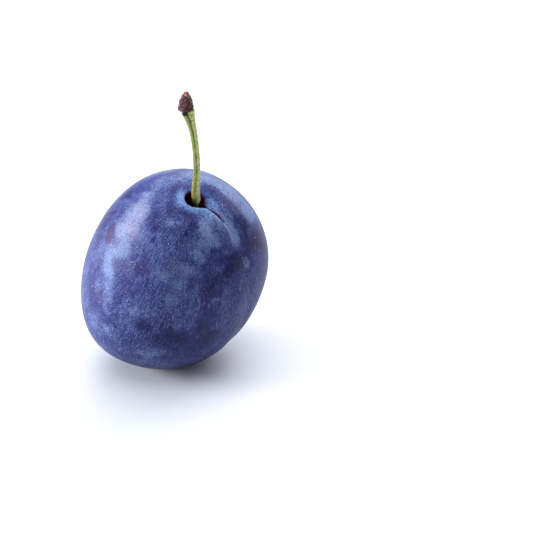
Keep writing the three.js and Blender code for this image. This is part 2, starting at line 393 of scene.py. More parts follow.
@dataclass(frozen=True)
class Lying:
    """How the fruit lies: turned about its axis, then leaning towards an azimuth."""

    turn: float = -37.3
    lean: float = 24.0
    lean_azimuth: float = -55.6

    def matrix(self) -> Matrix:
        """The rotation as a 3 by 3 matrix."""
        towards = math.radians(self.lean_azimuth)
        hinge = Vector((-math.sin(towards), math.cos(towards), 0))
        lean = Matrix.Rotation(math.radians(self.lean), 3, hinge)
        return lean @ Matrix.Rotation(math.radians(self.turn), 3, "Z")

    def lay(self, points: Array) -> Array:
        """The points, turned from the fruit's own frame to upright."""
        return points @ np.array(self.matrix()).T


@dataclass(frozen=True)
class SkinPatch:
    """One patch of the skin where the bloom differs or light or shade is painted, as a soft ellipse on the
    surface.

    Its middle is given in degrees, and its half sizes in millimetres: the first along the
    meridian and the second across it, before its slant turns it.
    """

    name: str
    polar: float
    azimuth: float
    along: float
    across: float
    strength: float
    slant: float


# Each row: name, polar angle and azimuth of the middle in degrees, half size along and across
# in millimetres, strength, and slant from the meridian in degrees.
PATCH_ROWS = {
    # Rubbed rows thin the bloom, but those under the lip, along the outline on the left, by the right
    # edge, at the foot on the right, on the right of the belly and beyond the suture on the far right are
    # painted shade.
    PatchKind.RUBBED: (
        ("dark ring, right back", 14, 84, 2.7, 1.3, 0.24, -78),
        ("dark ring, right", 22, 45, 2.5, 1.6, 0.24, -46),
        ("dark band right of the suture", 35, 27, 3.1, 2.1, 0.36, -23),
        ("lower end of that band", 48, 20, 2.6, 2.4, 0.3, -18),
        ("dark ring, left back", 15, -156, 3.2, 1.1, 0.26, 81),
        ("dark ring, left", 18, -110, 2.2, 1.2, 0.3, 67),
        ("shade under the lip", 15, -70, 2.7, 0.9, 0.4, -83),
        ("dark spot under the lip", 22, -54, 2.1, 1.0, 0.26, 9),
        ("small scuff", 28, -60, 0.7, 0.4, 0.5, 46),
        ("dark streaks left", 34, -106, 4.0, 1.6, 0.26, 41),
        ("left flank", 66, -150, 3.8, 4.1, 0.26, 64),
        ("left cheek rub", 63, -128, 2.3, 1.8, 0.5, 63),
        ("thin dark strip inside the outline", 54, -160, 2.3, 1.8, 0.4, 55),
        ("left of the middle", 57, -87, 2.8, 2.0, 0.26, 19),
        ("spot left of the dark patch", 38, -26, 1.1, 1.0, 0.34, 77),
        ("dark patch", 46, -7, 2.9, 1.3, 0.55, 76),
        ("dark patch, lower", 52, -15, 2.8, 1.8, 0.5, -71),
        ("right flank", 62, -26, 4.2, 2.5, 0.34, -25),
        ("right flank, lower", 84, -28, 7.6, 3.4, 0.26, 0),
        ("blotch", 88, -68, 1.9, 1.7, 0.28, -79),
        ("belly", 90, -50, 5.0, 2.7, 0.2, -90),
        ("rub on the upper band", 50, -160, 2.9, 1.5, 0.35, -27),
        ("left of the core", 68, -144, 1.5, 2.8, 0.2, 29),
        ("painted shade beyond the suture", 53, 32, 3.0, 2.7, 0.5, -31),
        ("back, rubbed", 68, 112, 5.2, 3.0, 0.38, 28),
        ("right back, rubbed", 78, 48, 4.6, 2.4, 0.34, -38),
        ("left back, rubbed", 98, -168, 4.5, 2.6, 0.34, 60),
        ("underside, rubbed", 134, 150, 4.0, 2.5, 0.34, 42),
        ("painted shade, belly right", 96, -36, 8.4, 6.4, 0.25, 55),
        ("right of the core", 34, -96, 3.5, 1.4, 0.2, 20),
        ("dark spot below the lip, left", 15, -72, 1.2, 1.4, 0.15, -59),
        ("shade by the right edge", 48, -4, 2.8, 2.0, 0.3, -63),
        ("painted shade, left outline", 74, -136, 3.1, 3.0, 0.35, 46),
        ("painted shade, left outline, lower", 90, -115, 5.5, 2.6, 0.12, 35),
        ("painted shade, right foot", 52, -6, 3.9, 1.7, 0.36, -78),
        ("painted shade, right foot, left", 59, -33, 2.7, 2.1, 0.2, -27),
    ),
    # Bloomed rows thicken the bloom, but those along the broad band on the left are a painted highlight,
    # those by the outline on the upper right a painted rim light, those on the two lips bloom with a
    # painted highlight, and those on the pale slope below the lip are a painted highlight.
    PatchKind.BLOOMED: (
        ("shoulder behind the hole", 22, 124, 4.8, 3.1, 0.32, -72),
        ("right shoulder", 27, 72, 3.7, 3.3, 0.44, -54),
        ("right shoulder, lower", 38, 48, 3.3, 3.4, 0.46, -45),
        ("left shoulder", 29, -172, 4.5, 2.7, 0.18, 47),
        ("left lip", 7, -113, 1.9, 1.4, 0.5, -84),
        ("lip along the fold", 12, -19, 3.1, 0.9, 0.5, 2),
        ("slope right of the fold", 11, 36, 2.7, 0.8, 0.42, -54),
        ("end of the fold", 32, 7, 2.9, 1.3, 0.46, -4),
        ("bloomed spot under the lip", 26, -84, 1.8, 1.3, 0.3, -55),
        ("middle", 49, -64, 2.4, 1.8, 0.12, -70),
        ("below the lip", 32, -36, 3.7, 3.0, 0.2, 27),
        ("smear beside the dark patch", 54, 6, 1.9, 1.0, 0.4, 14),
        ("foot band", 104, -60, 6.6, 2.2, 0.34, -78),
        ("belly, left", 82, -77, 3.2, 1.7, 0.12, -58),
        ("left foot", 101, -98, 3.8, 4.0, 0.26, 51),
        ("lower end of the band", 72, -110, 5.1, 2.8, 0.4, 27),
        ("upper end of the band", 45, -130, 4.4, 2.4, 0.18, 60),
        ("pale slope below the lip", 22, -33, 2.5, 1.3, 0.34, 23),
        ("pale streak right of the suture", 38, 4, 2.8, 1.6, 0.3, 3),
        ("core of the band", 36, -132, 4.5, 2.1, 0.3, 60),
        ("lower core of the band", 58, -108, 2.6, 2.3, 0.24, 18),
        ("above the left foot", 101, -86, 2.7, 2.6, 0.25, 45),
        ("edge of the foot", 114, -58, 4.6, 3.4, 0.2, 82),
        ("pale scar at the end of the fold", 29, 4, 1.5, 0.35, 0.9, 7),
        ("right of the middle", 49, -44, 2.5, 1.7, 0.15, 75),
        ("back, bloomed", 48, 152, 6.0, 3.8, 0.3, -40),
        ("back, bloomed low", 102, 84, 6.5, 3.4, 0.28, 22),
        ("underside, bloomed", 138, 28, 5.0, 3.6, 0.28, 15),
        ("middle of the band", 82, -100, 6.2, 2.1, 0.2, 13),
        ("veil across the middle", 51, -54, 4.5, 1.9, 0.2, 87),
        ("ring left of the hole", 13, -110, 1.5, 2.2, 0.25, 86),
        ("behind the hole, right", 17, 106, 2.1, 1.9, 0.24, 83),
        ("beside the end of the fold", 22, 7, 1.7, 1.7, 0.28, -57),
        ("below the end of the fold", 33, -22, 2.0, 1.3, 0.18, -14),
        ("right of the veil", 42, -41, 2.9, 1.4, 0.3, 53),
        ("middle of the belly", 58, -54, 2.2, 1.9, 0.26, 71),
        ("middle of the belly, lower", 68, -58, 1.8, 1.4, 0.2, -83),
        ("left edge of the band", 86, -109, 2.6, 1.9, 0.26, 28),
        ("left foot, upper", 91, -94, 2.2, 1.8, 0.22, -45),
        ("lower left of the core", 54, -122, 3.0, 2.6, 0.3, 40),
        ("left of the veil", 56, -68, 1.9, 1.7, 0.18, 50),
        ("right outline, upper", 32, 75, 4.5, 2.3, 0.35, -66),
        ("right outline", 43, 54, 2.9, 2.8, 0.3, -48),
        ("blue slope right of the hole", 10, 22, 2.0, 1.3, 0.35, -35),
        ("core of the pale slope", 23, -28, 1.4, 1.1, 0.18, 16),
    ),
    PatchKind.REDDENED: (
        ("left cheek rub, red", 63, -128, 2.3, 1.8, 0.8, 63),
        ("mauve spot", 44, -144, 1.7, 1.5, 0.7, 51),
        ("left of the middle, red", 57, -87, 2.8, 2.0, 0.4, 19),
        ("mauve edge of the band", 66, -96, 1.5, 2.0, 0.6, 25),
        ("mauve middle", 50, -64, 3.3, 2.5, 0.5, -71),
        ("brown spot", 87, -104, 2.0, 2.3, 0.6, 83),
        ("mauve below the band", 76, -90, 2.0, 1.9, 0.35, 26),
        ("back, mauve", 84, 158, 2.4, 2.0, 0.6, 10),
        ("mauve above the left foot", 90, -98, 2.9, 2.6, 0.4, 19),
    ),
    # The pink scar is the fruit's own colour; the other pink rows are a painted highlight.
    PatchKind.FLUSHED: (
        ("painted highlight, pink core of the band", 41, -125, 5.6, 2.7, 0.52, 52),
        ("that scar, pinkish", 28, 4, 1.5, 0.25, 1.0, 7),
        ("painted highlight, pink slope below the lip", 22, -33, 2.5, 1.3, 0.3, 23),
        ("painted highlight, pink lower left of the core", 53, -123, 2.9, 2.2, 0.3, 42),
    ),
}
SKIN_PATCHES = {kind: [SkinPatch(*row) for row in table] for kind, table in PATCH_ROWS.items()}


@dataclass
class NodeBench:
    """Adds nodes to one node tree and joins them."""

    tree: bpy.types.NodeTree

    def feed(self, target: Socket, value: object) -> None:
        """Links a socket to an input, or sets the input to a plain value."""
        if isinstance(value, bpy.types.NodeSocket):
            self.tree.links.new(value, target)
        else:
            target.default_value = value

    def add(self, kind: str, values: dict | None = None, **settings: object) -> bpy.types.Node:
        """Adds a node.

        Args:
            kind: The node's type name, without its prefix.
            values: Sockets or plain values for its inputs, by name or number.
            settings: The node's own settings.

        Returns:
            The node.
        """
        node = self.tree.nodes.new(kind)
        for name, setting in settings.items():
            setattr(node, name, setting)
        for name, value in (values or {}).items():
            self.feed(node.inputs[name], value)
        return node

    def math(self, operation: str, *values: object) -> Socket:
        """A number worked out from others."""
        values = dict(enumerate(values))
        return self.add("ShaderNodeMath", values, operation=operation).outputs[0]

    def times(self, first: object, second: object) -> Socket:
        """The product of two numbers."""
        return self.math("MULTIPLY", first, second)

    def plus(self, first: object, second: object, share: object = 1.0) -> Socket:
        """A number, plus a share of another one."""
        return self.math("MULTIPLY_ADD", second, share, first)

    def minus(self, first: object, second: object) -> Socket:
        """A number less another one."""
        return self.math("SUBTRACT", first, second)

    def over(self, first: object, second: object) -> Socket:
        """A number divided by another one."""
        return self.math("DIVIDE", first, second)

    def vector(self, operation: str, *values: object, number: bool = False) -> Socket:
        """A vector, or with number a length or a product, worked out from others."""
        node = self.add("ShaderNodeVectorMath", dict(enumerate(values)), operation=operation)
        return node.outputs["Value" if number else "Vector"]

    def scaled(self, vector: Socket, by: object) -> Socket:
        """A vector times a number."""
        values = {"Vector": vector, "Scale": by}
        return self.add("ShaderNodeVectorMath", values, operation="SCALE").outputs["Vector"]

    def join(self, **parts: object) -> Socket:
        """A vector from its X, Y and Z. Those left out are 0."""
        return self.add("ShaderNodeCombineXYZ", parts).outputs[0]

    def split(self, vector: Socket) -> list[Socket]:
        """The X, Y and Z of a vector."""
        return list(self.add("ShaderNodeSeparateXYZ", {0: vector}).outputs)

    def remap(
        self, value: object, low: object, high: object, start: object = 0.0, end: object = 1.0
    ) -> Socket:
        """A number's smooth rise from start at low to end at high, and flat outside them."""
        values = {"Value": value, "From Min": low, "From Max": high, "To Min": start}
        values["To Max"] = end
        node = self.add("ShaderNodeMapRange", values, interpolation_type="SMOOTHSTEP")
        return node.outputs["Result"]

    def fall(self, value: object, near: object, far: object) -> Socket:
        """A number's smooth fall from 1 at near to 0 at far."""
        return self.remap(value, near, far, 1.0, 0.0)

    def noise(self, place: Socket, scale: object, detail: float = 2.0, rough: float = 0.5) -> Socket:
        """Soft noise from 0 to 1, with its number of features to a unit of place."""
        values = {"Vector": place, "Scale": scale, "Detail": detail, "Roughness": rough}
        return self.add("ShaderNodeTexNoise", values).outputs["Fac"]

    def blend(self, share: object, first: object, second: object) -> Socket:
        """A colour between two others."""
        node = self.add("ShaderNodeMix", data_type="RGBA")
        self.feed(node.inputs["Factor"], share)
        self.feed(node.inputs[6], first)
        self.feed(node.inputs[7], second)
        return node.outputs[2]

    def between(self, share: object, first: object, second: object) -> Socket:
        """A number between two others."""
        node = self.add("ShaderNodeMix", data_type="FLOAT")
        self.feed(node.inputs["Factor"], share)
        self.feed(node.inputs[2], first)
        self.feed(node.inputs[3], second)
        return node.outputs[0]


@dataclass
class Effect:
    """A shader node group with named inputs and outputs, made once and used by name."""

    name: str
    inputs: dict[str, tuple[str, object]]
    outputs: dict[str, str]

    def make(self) -> tuple[bpy.types.NodeTree, NodeBench, dict[str, Socket], bpy.types.Node]:
        """Makes the empty group.

        Returns:
            The group, a bench to fill it with, its inputs by name, and its output node.
        """
        group = bpy.data.node_groups.new(self.name, "ShaderNodeTree")
        for name, (kind, default) in self.inputs.items():
            socket = group.interface.new_socket(name, in_out="INPUT", socket_type=kind)
            socket.default_value = default
        for name, kind in self.outputs.items():
            group.interface.new_socket(name, in_out="OUTPUT", socket_type=kind)
        bench = NodeBench(group)
        entry = bench.add("NodeGroupInput")
        leave = bench.add("NodeGroupOutput")
        return group, bench, {name: entry.outputs[name] for name in self.inputs}, leave


NUMBER = "NodeSocketFloat"
VECTOR = "NodeSocketVector"
NOWHERE = (0.0, 0.0, 0.0)


class Effects:
    """The effects that the plum's materials share.

    The noises are given as their detail and roughness, and the ranges are what is spread
    out to 0 and 1.
    """

    streak_noise: tuple[float, float] = (3.0, 0.6)
    streak_range: tuple[float, float] = (0.25, 0.75)
    finer: float = 1.7
    finer_detail: float = 1.0
    dot_sizes: tuple[float, float] = (0.55, 1.35)
    dot_core: float = 0.4
    broad_noise: tuple[float, float] = (3.0, 0.55)
    small_noise: tuple[float, float] = (3.0, 0.6)
    cloud_range: tuple[float, float] = (0.3, 0.7)
    patch_edge: tuple[float, float] = (0.2, 1.2)

    def __init__(self) -> None:
        """Makes every effect once."""
        self.streaks = self.make_streaks()
        self.specks = self.make_specks()
        self.mottle = self.make_mottle()
        self.patch = self.make_patch()

    def make_streaks(self) -> bpy.types.NodeTree:
        """Fine streaks that run along a piece's axis.

        The place is pressed flat along the axis before it reaches the noise, so each feature
        is drawn out along Z, and a second, finer noise breaks the streaks up.

        Returns:
            The node group.
        """
        effect = Effect(
            "lengthwise_streaks",
            {
                "Place": (VECTOR, NOWHERE),
                "Fineness": (NUMBER, 1.0),
                "Drawn Out": (NUMBER, 6.0),
                "Broken": (NUMBER, 0.3),
            },
            {"Streak": NUMBER},
        )
        group, bench, given, leave = effect.make()
        x, y, z = bench.split(given["Place"])
        pressed = bench.join(X=x, Y=y, Z=bench.over(z, given["Drawn Out"]))
        streak = bench.noise(pressed, given["Fineness"], *self.streak_noise)
        finer = bench.times(given["Fineness"], self.finer)
        broken = bench.noise(given["Place"], finer, self.finer_detail)
        mixed = bench.between(given["Broken"], streak, broken)
        bench.feed(leave.inputs["Streak"], bench.remap(mixed, *self.streak_range))
        return group

    def make_specks(self) -> bpy.types.NodeTree:
        """Scattered breathing pores: a pale dot in a darker ring at each cell of a pattern.

        The distance to the nearest cell point, less than the dot's size, gives the dot, and
        a wider one gives the ring. A random number of the cell drops some and varies the
        rest.

        Returns:
            The node group.
        """
        effect = Effect(
            "breathing_pores",
            {
                "Place": (VECTOR, NOWHERE),
                "Spacing": (NUMBER, 2.6),
                "Dot Size": (NUMBER, 0.14),
                "Ring Size": (NUMBER, 0.5),
                "Missing": (NUMBER, 0.3),
            },
            {"Dot": NUMBER, "Ring": NUMBER},
        )
        group, bench, given, leave = effect.make()
        scale = bench.over(1.0, given["Spacing"])
        values = {"Vector": given["Place"], "Scale": scale, "Randomness": 1.0}
        cells = bench.add("ShaderNodeTexVoronoi", values, feature="F1")
        away = bench.times(cells.outputs["Distance"], given["Spacing"])
        colour = bench.add("ShaderNodeSeparateColor", {0: cells.outputs["Color"]})
        kept = bench.math("GREATER_THAN", colour.outputs[0], given["Missing"])
        vary = bench.remap(colour.outputs[1], 0.0, 1.0, *self.dot_sizes)
        size = bench.times(given["Dot Size"], vary)
        core = bench.times(size, self.dot_core)
        dot = bench.fall(away, core, size)
        ring = bench.fall(away, size, given["Ring Size"])
        bench.feed(leave.inputs["Dot"], bench.times(dot, kept))
        bench.feed(leave.inputs["Ring"], bench.times(ring, kept))
        return group

    def make_mottle(self) -> bpy.types.NodeTree:
        """Cloudy patches at two sizes, from 0 to 1.

        Returns:
            The node group.
        """
        effect = Effect(
            "cloudy_mottle",
            {
                "Place": (VECTOR, NOWHERE),
                "Broad Size": (NUMBER, 8.0),
                "Small Size": (NUMBER, 1.5),
                "Small Share": (NUMBER, 0.3),
            },
            {"Cloud": NUMBER, "Small": NUMBER},
        )
        group, bench, given, leave = effect.make()
        scale = bench.over(1.0, given["Broad Size"])
        broad = bench.noise(given["Place"], scale, *self.broad_noise)
        scale = bench.over(1.0, given["Small Size"])
        small = bench.noise(given["Place"], scale, *self.small_noise)
        mixed = bench.between(given["Small Share"], broad, small)
        bench.feed(leave.inputs["Cloud"], bench.remap(mixed, *self.cloud_range))
        bench.feed(leave.inputs["Small"], bench.remap(small, *self.cloud_range))
        return group

    def make_patch(self) -> bpy.types.NodeTree:
        """One soft-edged patch, added to the sum of those before it.

        The offset from its middle is split into the part that runs lengthwise and the rest.
        Each is divided by the patch's own half size that way, and the root of the sum of their
        squares is how far out the place is: 0 in the middle, 1 at the edge.

        Returns:
            The node group.
        """
        effect = Effect(
            "soft_patch",
            {
                "Place": (VECTOR, NOWHERE),
                "Middle": (VECTOR, NOWHERE),
                "Lengthwise": (VECTOR, (0.0, 1.0, 0.0)),
                "Across": (NUMBER, 1.0),
                "Along": (NUMBER, 1.0),
                "Raggedness": (NUMBER, 0.0),
                "Strength": (NUMBER, 1.0),
                "Sum": (NUMBER, 0.0),
            },
            {"Sum": NUMBER},
        )
        group, bench, given, leave = effect.make()
        offset = bench.vector("SUBTRACT", given["Place"], given["Middle"])
        forward = bench.vector("DOT_PRODUCT", offset, given["Lengthwise"], number=True)
        whole = bench.vector("DOT_PRODUCT", offset, offset, number=True)
        forward = bench.times(forward, forward)
        aside = bench.minus(whole, forward)
        along = bench.times(given["Along"], given["Along"])
        across = bench.times(given["Across"], given["Across"])
        lengthwise = bench.over(forward, along)
        away = bench.plus(lengthwise, bench.over(aside, across))
        away = bench.math("SQRT", away)
        ragged = bench.plus(away, given["Raggedness"])
        mask = bench.fall(ragged, *self.patch_edge)
        bench.feed(leave.inputs["Sum"], bench.plus(given["Sum"], mask, given["Strength"]))
        return group


def use(bench: NodeBench, group: bpy.types.NodeTree, **values: object) -> bpy.types.Node:
    """Places an effect in a material. Underscores in the names stand for spaces.

    Args:
        bench: The material's bench.
        group: The effect.
        values: Its inputs.

    Returns:
        The group node.
    """
    node = bench.add("ShaderNodeGroup", node_tree=group)
    for name, value in values.items():
        bench.feed(node.inputs[name.replace("_", " ")], value)
    return node


def streaks(
    bench: NodeBench, effects: Effects, place: Socket, weave: tuple[float, float, float]
) -> Socket:
    """Places the streak effect in a material.

    Args:
        bench: The material's bench.
        effects: The shared effects.
        place: The place that it reads.
        weave: How fine the streaks are, how drawn out and how broken.

    Returns:
        The streaks, from 0 to 1.
    """
    fineness, drawn_out, broken = weave
    values = {"Fineness": fineness, "Drawn_Out": drawn_out, "Broken": broken}
    return use(bench, effects.streaks, Place=place, **values).outputs["Streak"]


def dots(
    bench: NodeBench, effects: Effects, place: Socket, pattern: tuple[float, float, float]
) -> tuple[Socket, Socket]:
    """Places the effect of breathing pores in a material.

    Args:
        bench: The material's bench.
        effects: The shared effects.
        place: The place that it reads.
        pattern: The pores' spacing, their size, and the share of them that is missing.

    Returns:
        The dots and the rings round them, from 0 to 1.
    """
    spacing, size, missing = pattern
    values = {"Spacing": spacing, "Dot_Size": size, "Missing": missing}
    node = use(bench, effects.specks, Place=place, **values)
    return node.outputs["Dot"], node.outputs["Ring"]


def clouds_of(
    bench: NodeBench, effects: Effects, place: Socket, sizes: tuple[float, float]
) -> tuple[Socket, Socket]:
    """Places the mottle effect in a material.

    Args:
        bench: The material's bench.
        effects: The shared effects.
        place: The place that it reads.
        sizes: The sizes of the broad and of the small clouds.

    Returns:
        Both mixed, and the small clouds alone, from 0 to 1.
    """
    broad, small = sizes
    node = use(bench, effects.mottle, Place=place, Broad_Size=broad, Small_Size=small)
    return node.outputs["Cloud"], node.outputs["Small"]


def read_marks(bench: NodeBench, name: str) -> Socket:
    """Reads the vectors that a mesh keeps for its material under a name."""
    return bench.add("ShaderNodeAttribute", attribute_name=name).outputs["Vector"]


def finish_surface(
    bench: NodeBench,
    shader: bpy.types.Node,
    colour: Socket,
    relief: Socket,
    bump: tuple[float, float],
    constants: dict[str, object],
) -> None:
    """Gives a shader its colour, its relief and its constants.

    Args:
        bench: The material's bench.
        shader: The Principled shader.
        colour: The base colour.
        relief: The height that the bump reads.
        bump: The bump's strength, and its depth in millimetres.
        constants: Plain values for the shader's inputs, by name.
    """
    bench.feed(shader.inputs["Base Color"], colour)
    strength, depth = bump
    values = {"Height": relief, "Strength": strength, "Distance": depth * MM}
    bench.feed(shader.inputs["Normal"], bench.add("ShaderNodeBump", values).outputs["Normal"])
    for name, value in constants.items():
        shader.inputs[name].default_value = value


def new_material(name: str) -> tuple[bpy.types.Material, NodeBench, bpy.types.Node]:
    """Makes a material with one Principled shader.

    Args:
        name: The material's name.

    Returns:
        The material, a bench for its nodes, and the shader.
    """
    material = bpy.data.materials.new(name)
    material.use_nodes = True
    material.node_tree.nodes.clear()
    bench = NodeBench(material.node_tree)
    shader = bench.add("ShaderNodeBsdfPrincipled")
    out = bench.add("ShaderNodeOutputMaterial")
    bench.feed(out.inputs["Surface"], shader.outputs["BSDF"])
    return material, bench, shader


@dataclass(frozen=True)
class BloomedSkin:
    """The finish of the fruit: dark skin under a pale waxy bloom, rubbed here and there, with painted
    highlight and painted shade in places.
    """

    bare: Colour = (0.005, 0.007, 0.050, 1)
    bare_red: Colour = (0.022, 0.009, 0.045, 1)
    thin_bloom: Colour = (0.022, 0.028, 0.125, 1)
    thick_bloom: Colour = (0.110, 0.155, 0.305, 1)
    hollow: Colour = (0.050, 0.004, 0.012, 1)
    crease: Colour = (0.420, 0.110, 0.050, 1)
    pore: Colour = (0.56, 0.44, 0.54, 1)
    style: Colour = (0.16, 0.08, 0.04, 1)
    mauve: Colour = (0.060, 0.044, 0.120, 1)
    # Pink of the scar, also a painted highlight on the band's core and on the slope below the lip.
    pink_scar_and_highlight: Colour = (0.190, 0.180, 0.290, 1)
    # Painted highlight on the crests of the lips.
    lip_highlight: Colour = (0.190, 0.260, 0.400, 1)
    ring_tint: Colour = (0.84, 1.08, 1.30, 1)
    gleam: Colour = (1.0, 0.92, 0.98, 1)
    bare_roughness: float = 0.36
    bloom_roughness: float = 0.55
    index: float = 1.45
    specular: float = 0.15
    bump: tuple[float, float] = (0.35, 0.03)
    cloud_sizes: tuple[float, float] = (9.0, 1.6)
    meridian_weave: tuple[float, float, float] = (3.0, 6.0, 0.2)
    grain_weave: tuple[float, float, float] = (5.0, 2.0, 0.5)
    speckle_weave: tuple[float, float, float] = (6.5, 2.5, 0.3)
    crumb_noise: tuple[float, float, float] = (4.2, 2.0, 0.7)
    crumb_range: tuple[float, float] = (0.36, 0.64)
    crumb_reach: tuple[float, float] = (5.0, 14.0)
    pore_pattern: tuple[float, float, float] = (1.2, 0.12, 0.3)
    fleck_pattern: tuple[float, float, float] = (0.5, 0.08, 0.6)
    fleck_strength: float = 0.5
    warp_noise: tuple[float, float, float] = (0.35, 3.0, 0.6)
    warp_width: float = 1.6
    streaked_width: float = 0.4
    cloud_bloom: tuple[float, float] = (0.34, 0.56)
    meridian_bloom: float = 0.38
    dust_bloom: float = 0.24
    # Painted highlight: extra bloom on the lips.
    lip_highlight_bloom: float = 0.25
    ring_bloom: float = -0.16
    rubbed_off: float = 0.37
    least_bloom: float = 0.05
    red_range: tuple[float, float] = (0.5, 1.3)
    thin_range: tuple[float, float] = (0.0, 0.5)
    thick_range: tuple[float, float] = (0.4, 1.0)
    mauve_strength: float = 0.6
    lip_highlight_strength: float = 0.45
    dust_shade: float = 1.1
    shade_start: float = -0.1
    ring_reach: tuple[float, float] = (2.5, 9.0)
    hollow_range: tuple[float, float] = (0.03, 0.10)
    raw_range: tuple[float, float] = (0.25, 0.60)
    crease_range: tuple[float, float] = (0.6, 0.8)
    style_range: tuple[float, float] = (0.8, 1.4)
    streak_relief: float = 0.5
    pore_relief: float = 0.8

    def dress(self, effects: Effects, form: FruitForm, lying: Lying, centre: Vector) -> bpy.types.Material:
        """Makes the material.

        Object coordinates are brought back to the fruit's own frame in millimetres. Clouds,
        streaks along the meridians, dust and the patches set how thick the bloom is, which
        sets colour and roughness. Some patches are painted light instead: the bloomed ones
        along the broad band on the left are a painted highlight, those by the outline on the
        upper right a painted rim light, and the rubbed ones under the lip, along the outline
        on the left and at the lower right are painted shade. The dust is fine grain and
        speckle along the meridians, and near the hole, where they close up, even crumbs take
        the speckle's place. It shades the colour too. Reddened patches turn mauve, and pink
        ones are the real scar at the fold's end and a painted highlight on the band's core
        and on the slope below the lip. The lips have pale crests of painted highlight, and the
        ring round the hole is bluer. Pale flecks and pores are scattered over the skin. The
        hole, the fold's raw wall and the style have colours of their own.

        Args:
            effects: The shared effects.
            form: The fruit's form, for its width, the style's size and the patches' middles.
            lying: How the fruit lies.
            centre: Where its centre is, in metres.

        Returns:
            The material.
        """
        material, bench, shader = new_material("bloomed_skin")
        place = self.own_place(bench, lying, centre)
        in_hole, on_raw_wall, on_lip = bench.split(read_marks(bench, MARKS))
        beside, across, height = bench.split(place)
        flat = bench.join(X=beside, Y=across)
        distance = bench.vector("LENGTH", flat, number=True)
        stalk_half = bench.remap(height, 0.0, 1.0)

        around = bench.scaled(bench.vector("NORMALIZE", flat), form.half_width_across)
        run = bench.join(Z=bench.minus(height, distance))
        tall = bench.vector("ADD", around, run)
        cloud, small_cloud = clouds_of(bench, effects, place, self.cloud_sizes)
        meridian = streaks(bench, effects, tall, self.meridian_weave)
        grain = streaks(bench, effects, tall, self.grain_weave)
        speckle = streaks(bench, effects, tall, self.speckle_weave)
        crumbs = bench.remap(bench.noise(place, *self.crumb_noise), *self.crumb_range)
        near_hole = bench.fall(distance, *self.crumb_reach)
        near_hole = bench.times(near_hole, stalk_half)
        speckle = bench.between(near_hole, speckle, crumbs)
        dust = bench.plus(grain, speckle)
        pore, pore_ring = dots(bench, effects, place, self.pore_pattern)
        fleck, _ = dots(bench, effects, place, self.fleck_pattern)

        warp = bench.noise(place, *self.warp_noise)
        ragged = bench.plus(-(self.warp_width + self.streaked_width) / 2, warp, self.warp_width)
        ragged = bench.plus(ragged, meridian, self.streaked_width)
        sums = {
            kind: self.patch_sum(bench, effects, form, place, ragged, kind) for kind in PatchKind
        }

        bloom = bench.remap(cloud, 0.0, 1.0, *self.cloud_bloom)
        bloom = bench.minus(bloom, self.rubbed_off)
        # The lip layer is a painted highlight, and the patch sums hold painted highlight and painted shade
        # besides real bloom.
        layers = (
            (meridian, self.meridian_bloom),
            (dust, self.dust_bloom),
            (on_lip, self.lip_highlight_bloom),
            (sums[PatchKind.BLOOMED], 1.0),
            (sums[PatchKind.RUBBED], -1.0),
            (pore_ring, self.ring_bloom),
        )
        for layer, thickness in layers:
            bloom = bench.plus(bloom, layer, thickness)
        bloom = bench.math("MAXIMUM", bench.math("MINIMUM", bloom, 1.0), self.least_bloom)

        red = bench.plus(sums[PatchKind.REDDENED], small_cloud)
        bare = bench.blend(bench.remap(red, *self.red_range), self.bare, self.bare_red)
        veiled = bench.blend(bench.remap(bloom, *self.thin_range), bare, self.thin_bloom)
        colour = bench.blend(bench.remap(bloom, *self.thick_range), veiled, self.thick_bloom)
        # The pink wash is the real scar and a painted highlight; the lip wash is a painted highlight on
        # the crests.
        washes = (
            (sums[PatchKind.REDDENED], self.mauve_strength, self.mauve),
            (sums[PatchKind.FLUSHED], 1.0, self.pink_scar_and_highlight),
            (on_lip, self.lip_highlight_strength, self.lip_highlight),
        )
        for share, strength, wash in washes:
            share = bench.math("MINIMUM", bench.times(share, strength), 1.0)
            colour = bench.blend(share, colour, wash)
        shade = bench.plus(self.shade_start, dust, self.dust_shade)
        ring = bench.times(bench.fall(distance, *self.ring_reach), stalk_half)
        tint = bench.blend(ring, (1, 1, 1, 1), self.ring_tint)
        colour = bench.vector("MULTIPLY", bench.scaled(colour, shade), tint)
        colour = bench.blend(bench.times(fleck, self.fleck_strength), colour, self.pore)
        colour = bench.blend(pore, colour, self.pore)

        colour = bench.blend(bench.remap(in_hole, *self.hollow_range), colour, self.hollow)
        raw = bench.remap(on_raw_wall, *self.raw_range)
        colour = bench.blend(raw, colour, self.hollow)
        crease = bench.times(raw, bench.remap(grain, *self.crease_range))
        colour = bench.blend(crease, colour, self.crease)
        blossom_half = bench.math("LESS_THAN", height, 0.0)
        start, end = (share * form.style_radius for share in self.style_range)
        style = bench.times(blossom_half, bench.fall(distance, start, end))
        colour = bench.blend(style, colour, self.style)

        rough = bench.between(bloom, self.bare_roughness, self.bloom_roughness)
        bench.feed(shader.inputs["Roughness"], rough)
        relief = bench.times(grain, self.streak_relief)
        relief = bench.plus(relief, meridian, self.streak_relief)
        relief = bench.plus(relief, pore, self.pore_relief)
        constants = {
            "IOR": self.index,
            "Specular IOR Level": self.specular,
            "Specular Tint": self.gleam,
        }
        finish_surface(bench, shader, colour, relief, self.bump, constants)
        return material

    def own_place(self, bench: NodeBench, lying: Lying, centre: Vector) -> Socket:
        """Brings object coordinates back to the fruit's own frame in millimetres."""
        seen = bench.add("ShaderNodeTexCoord").outputs["Object"]
        values = {
            "Vector": seen,
            "Location": centre,
            "Rotation": lying.matrix().to_euler(),
            "Scale": (MM, MM, MM),
        }
        return bench.add("ShaderNodeMapping", values, vector_type="TEXTURE").outputs["Vector"]

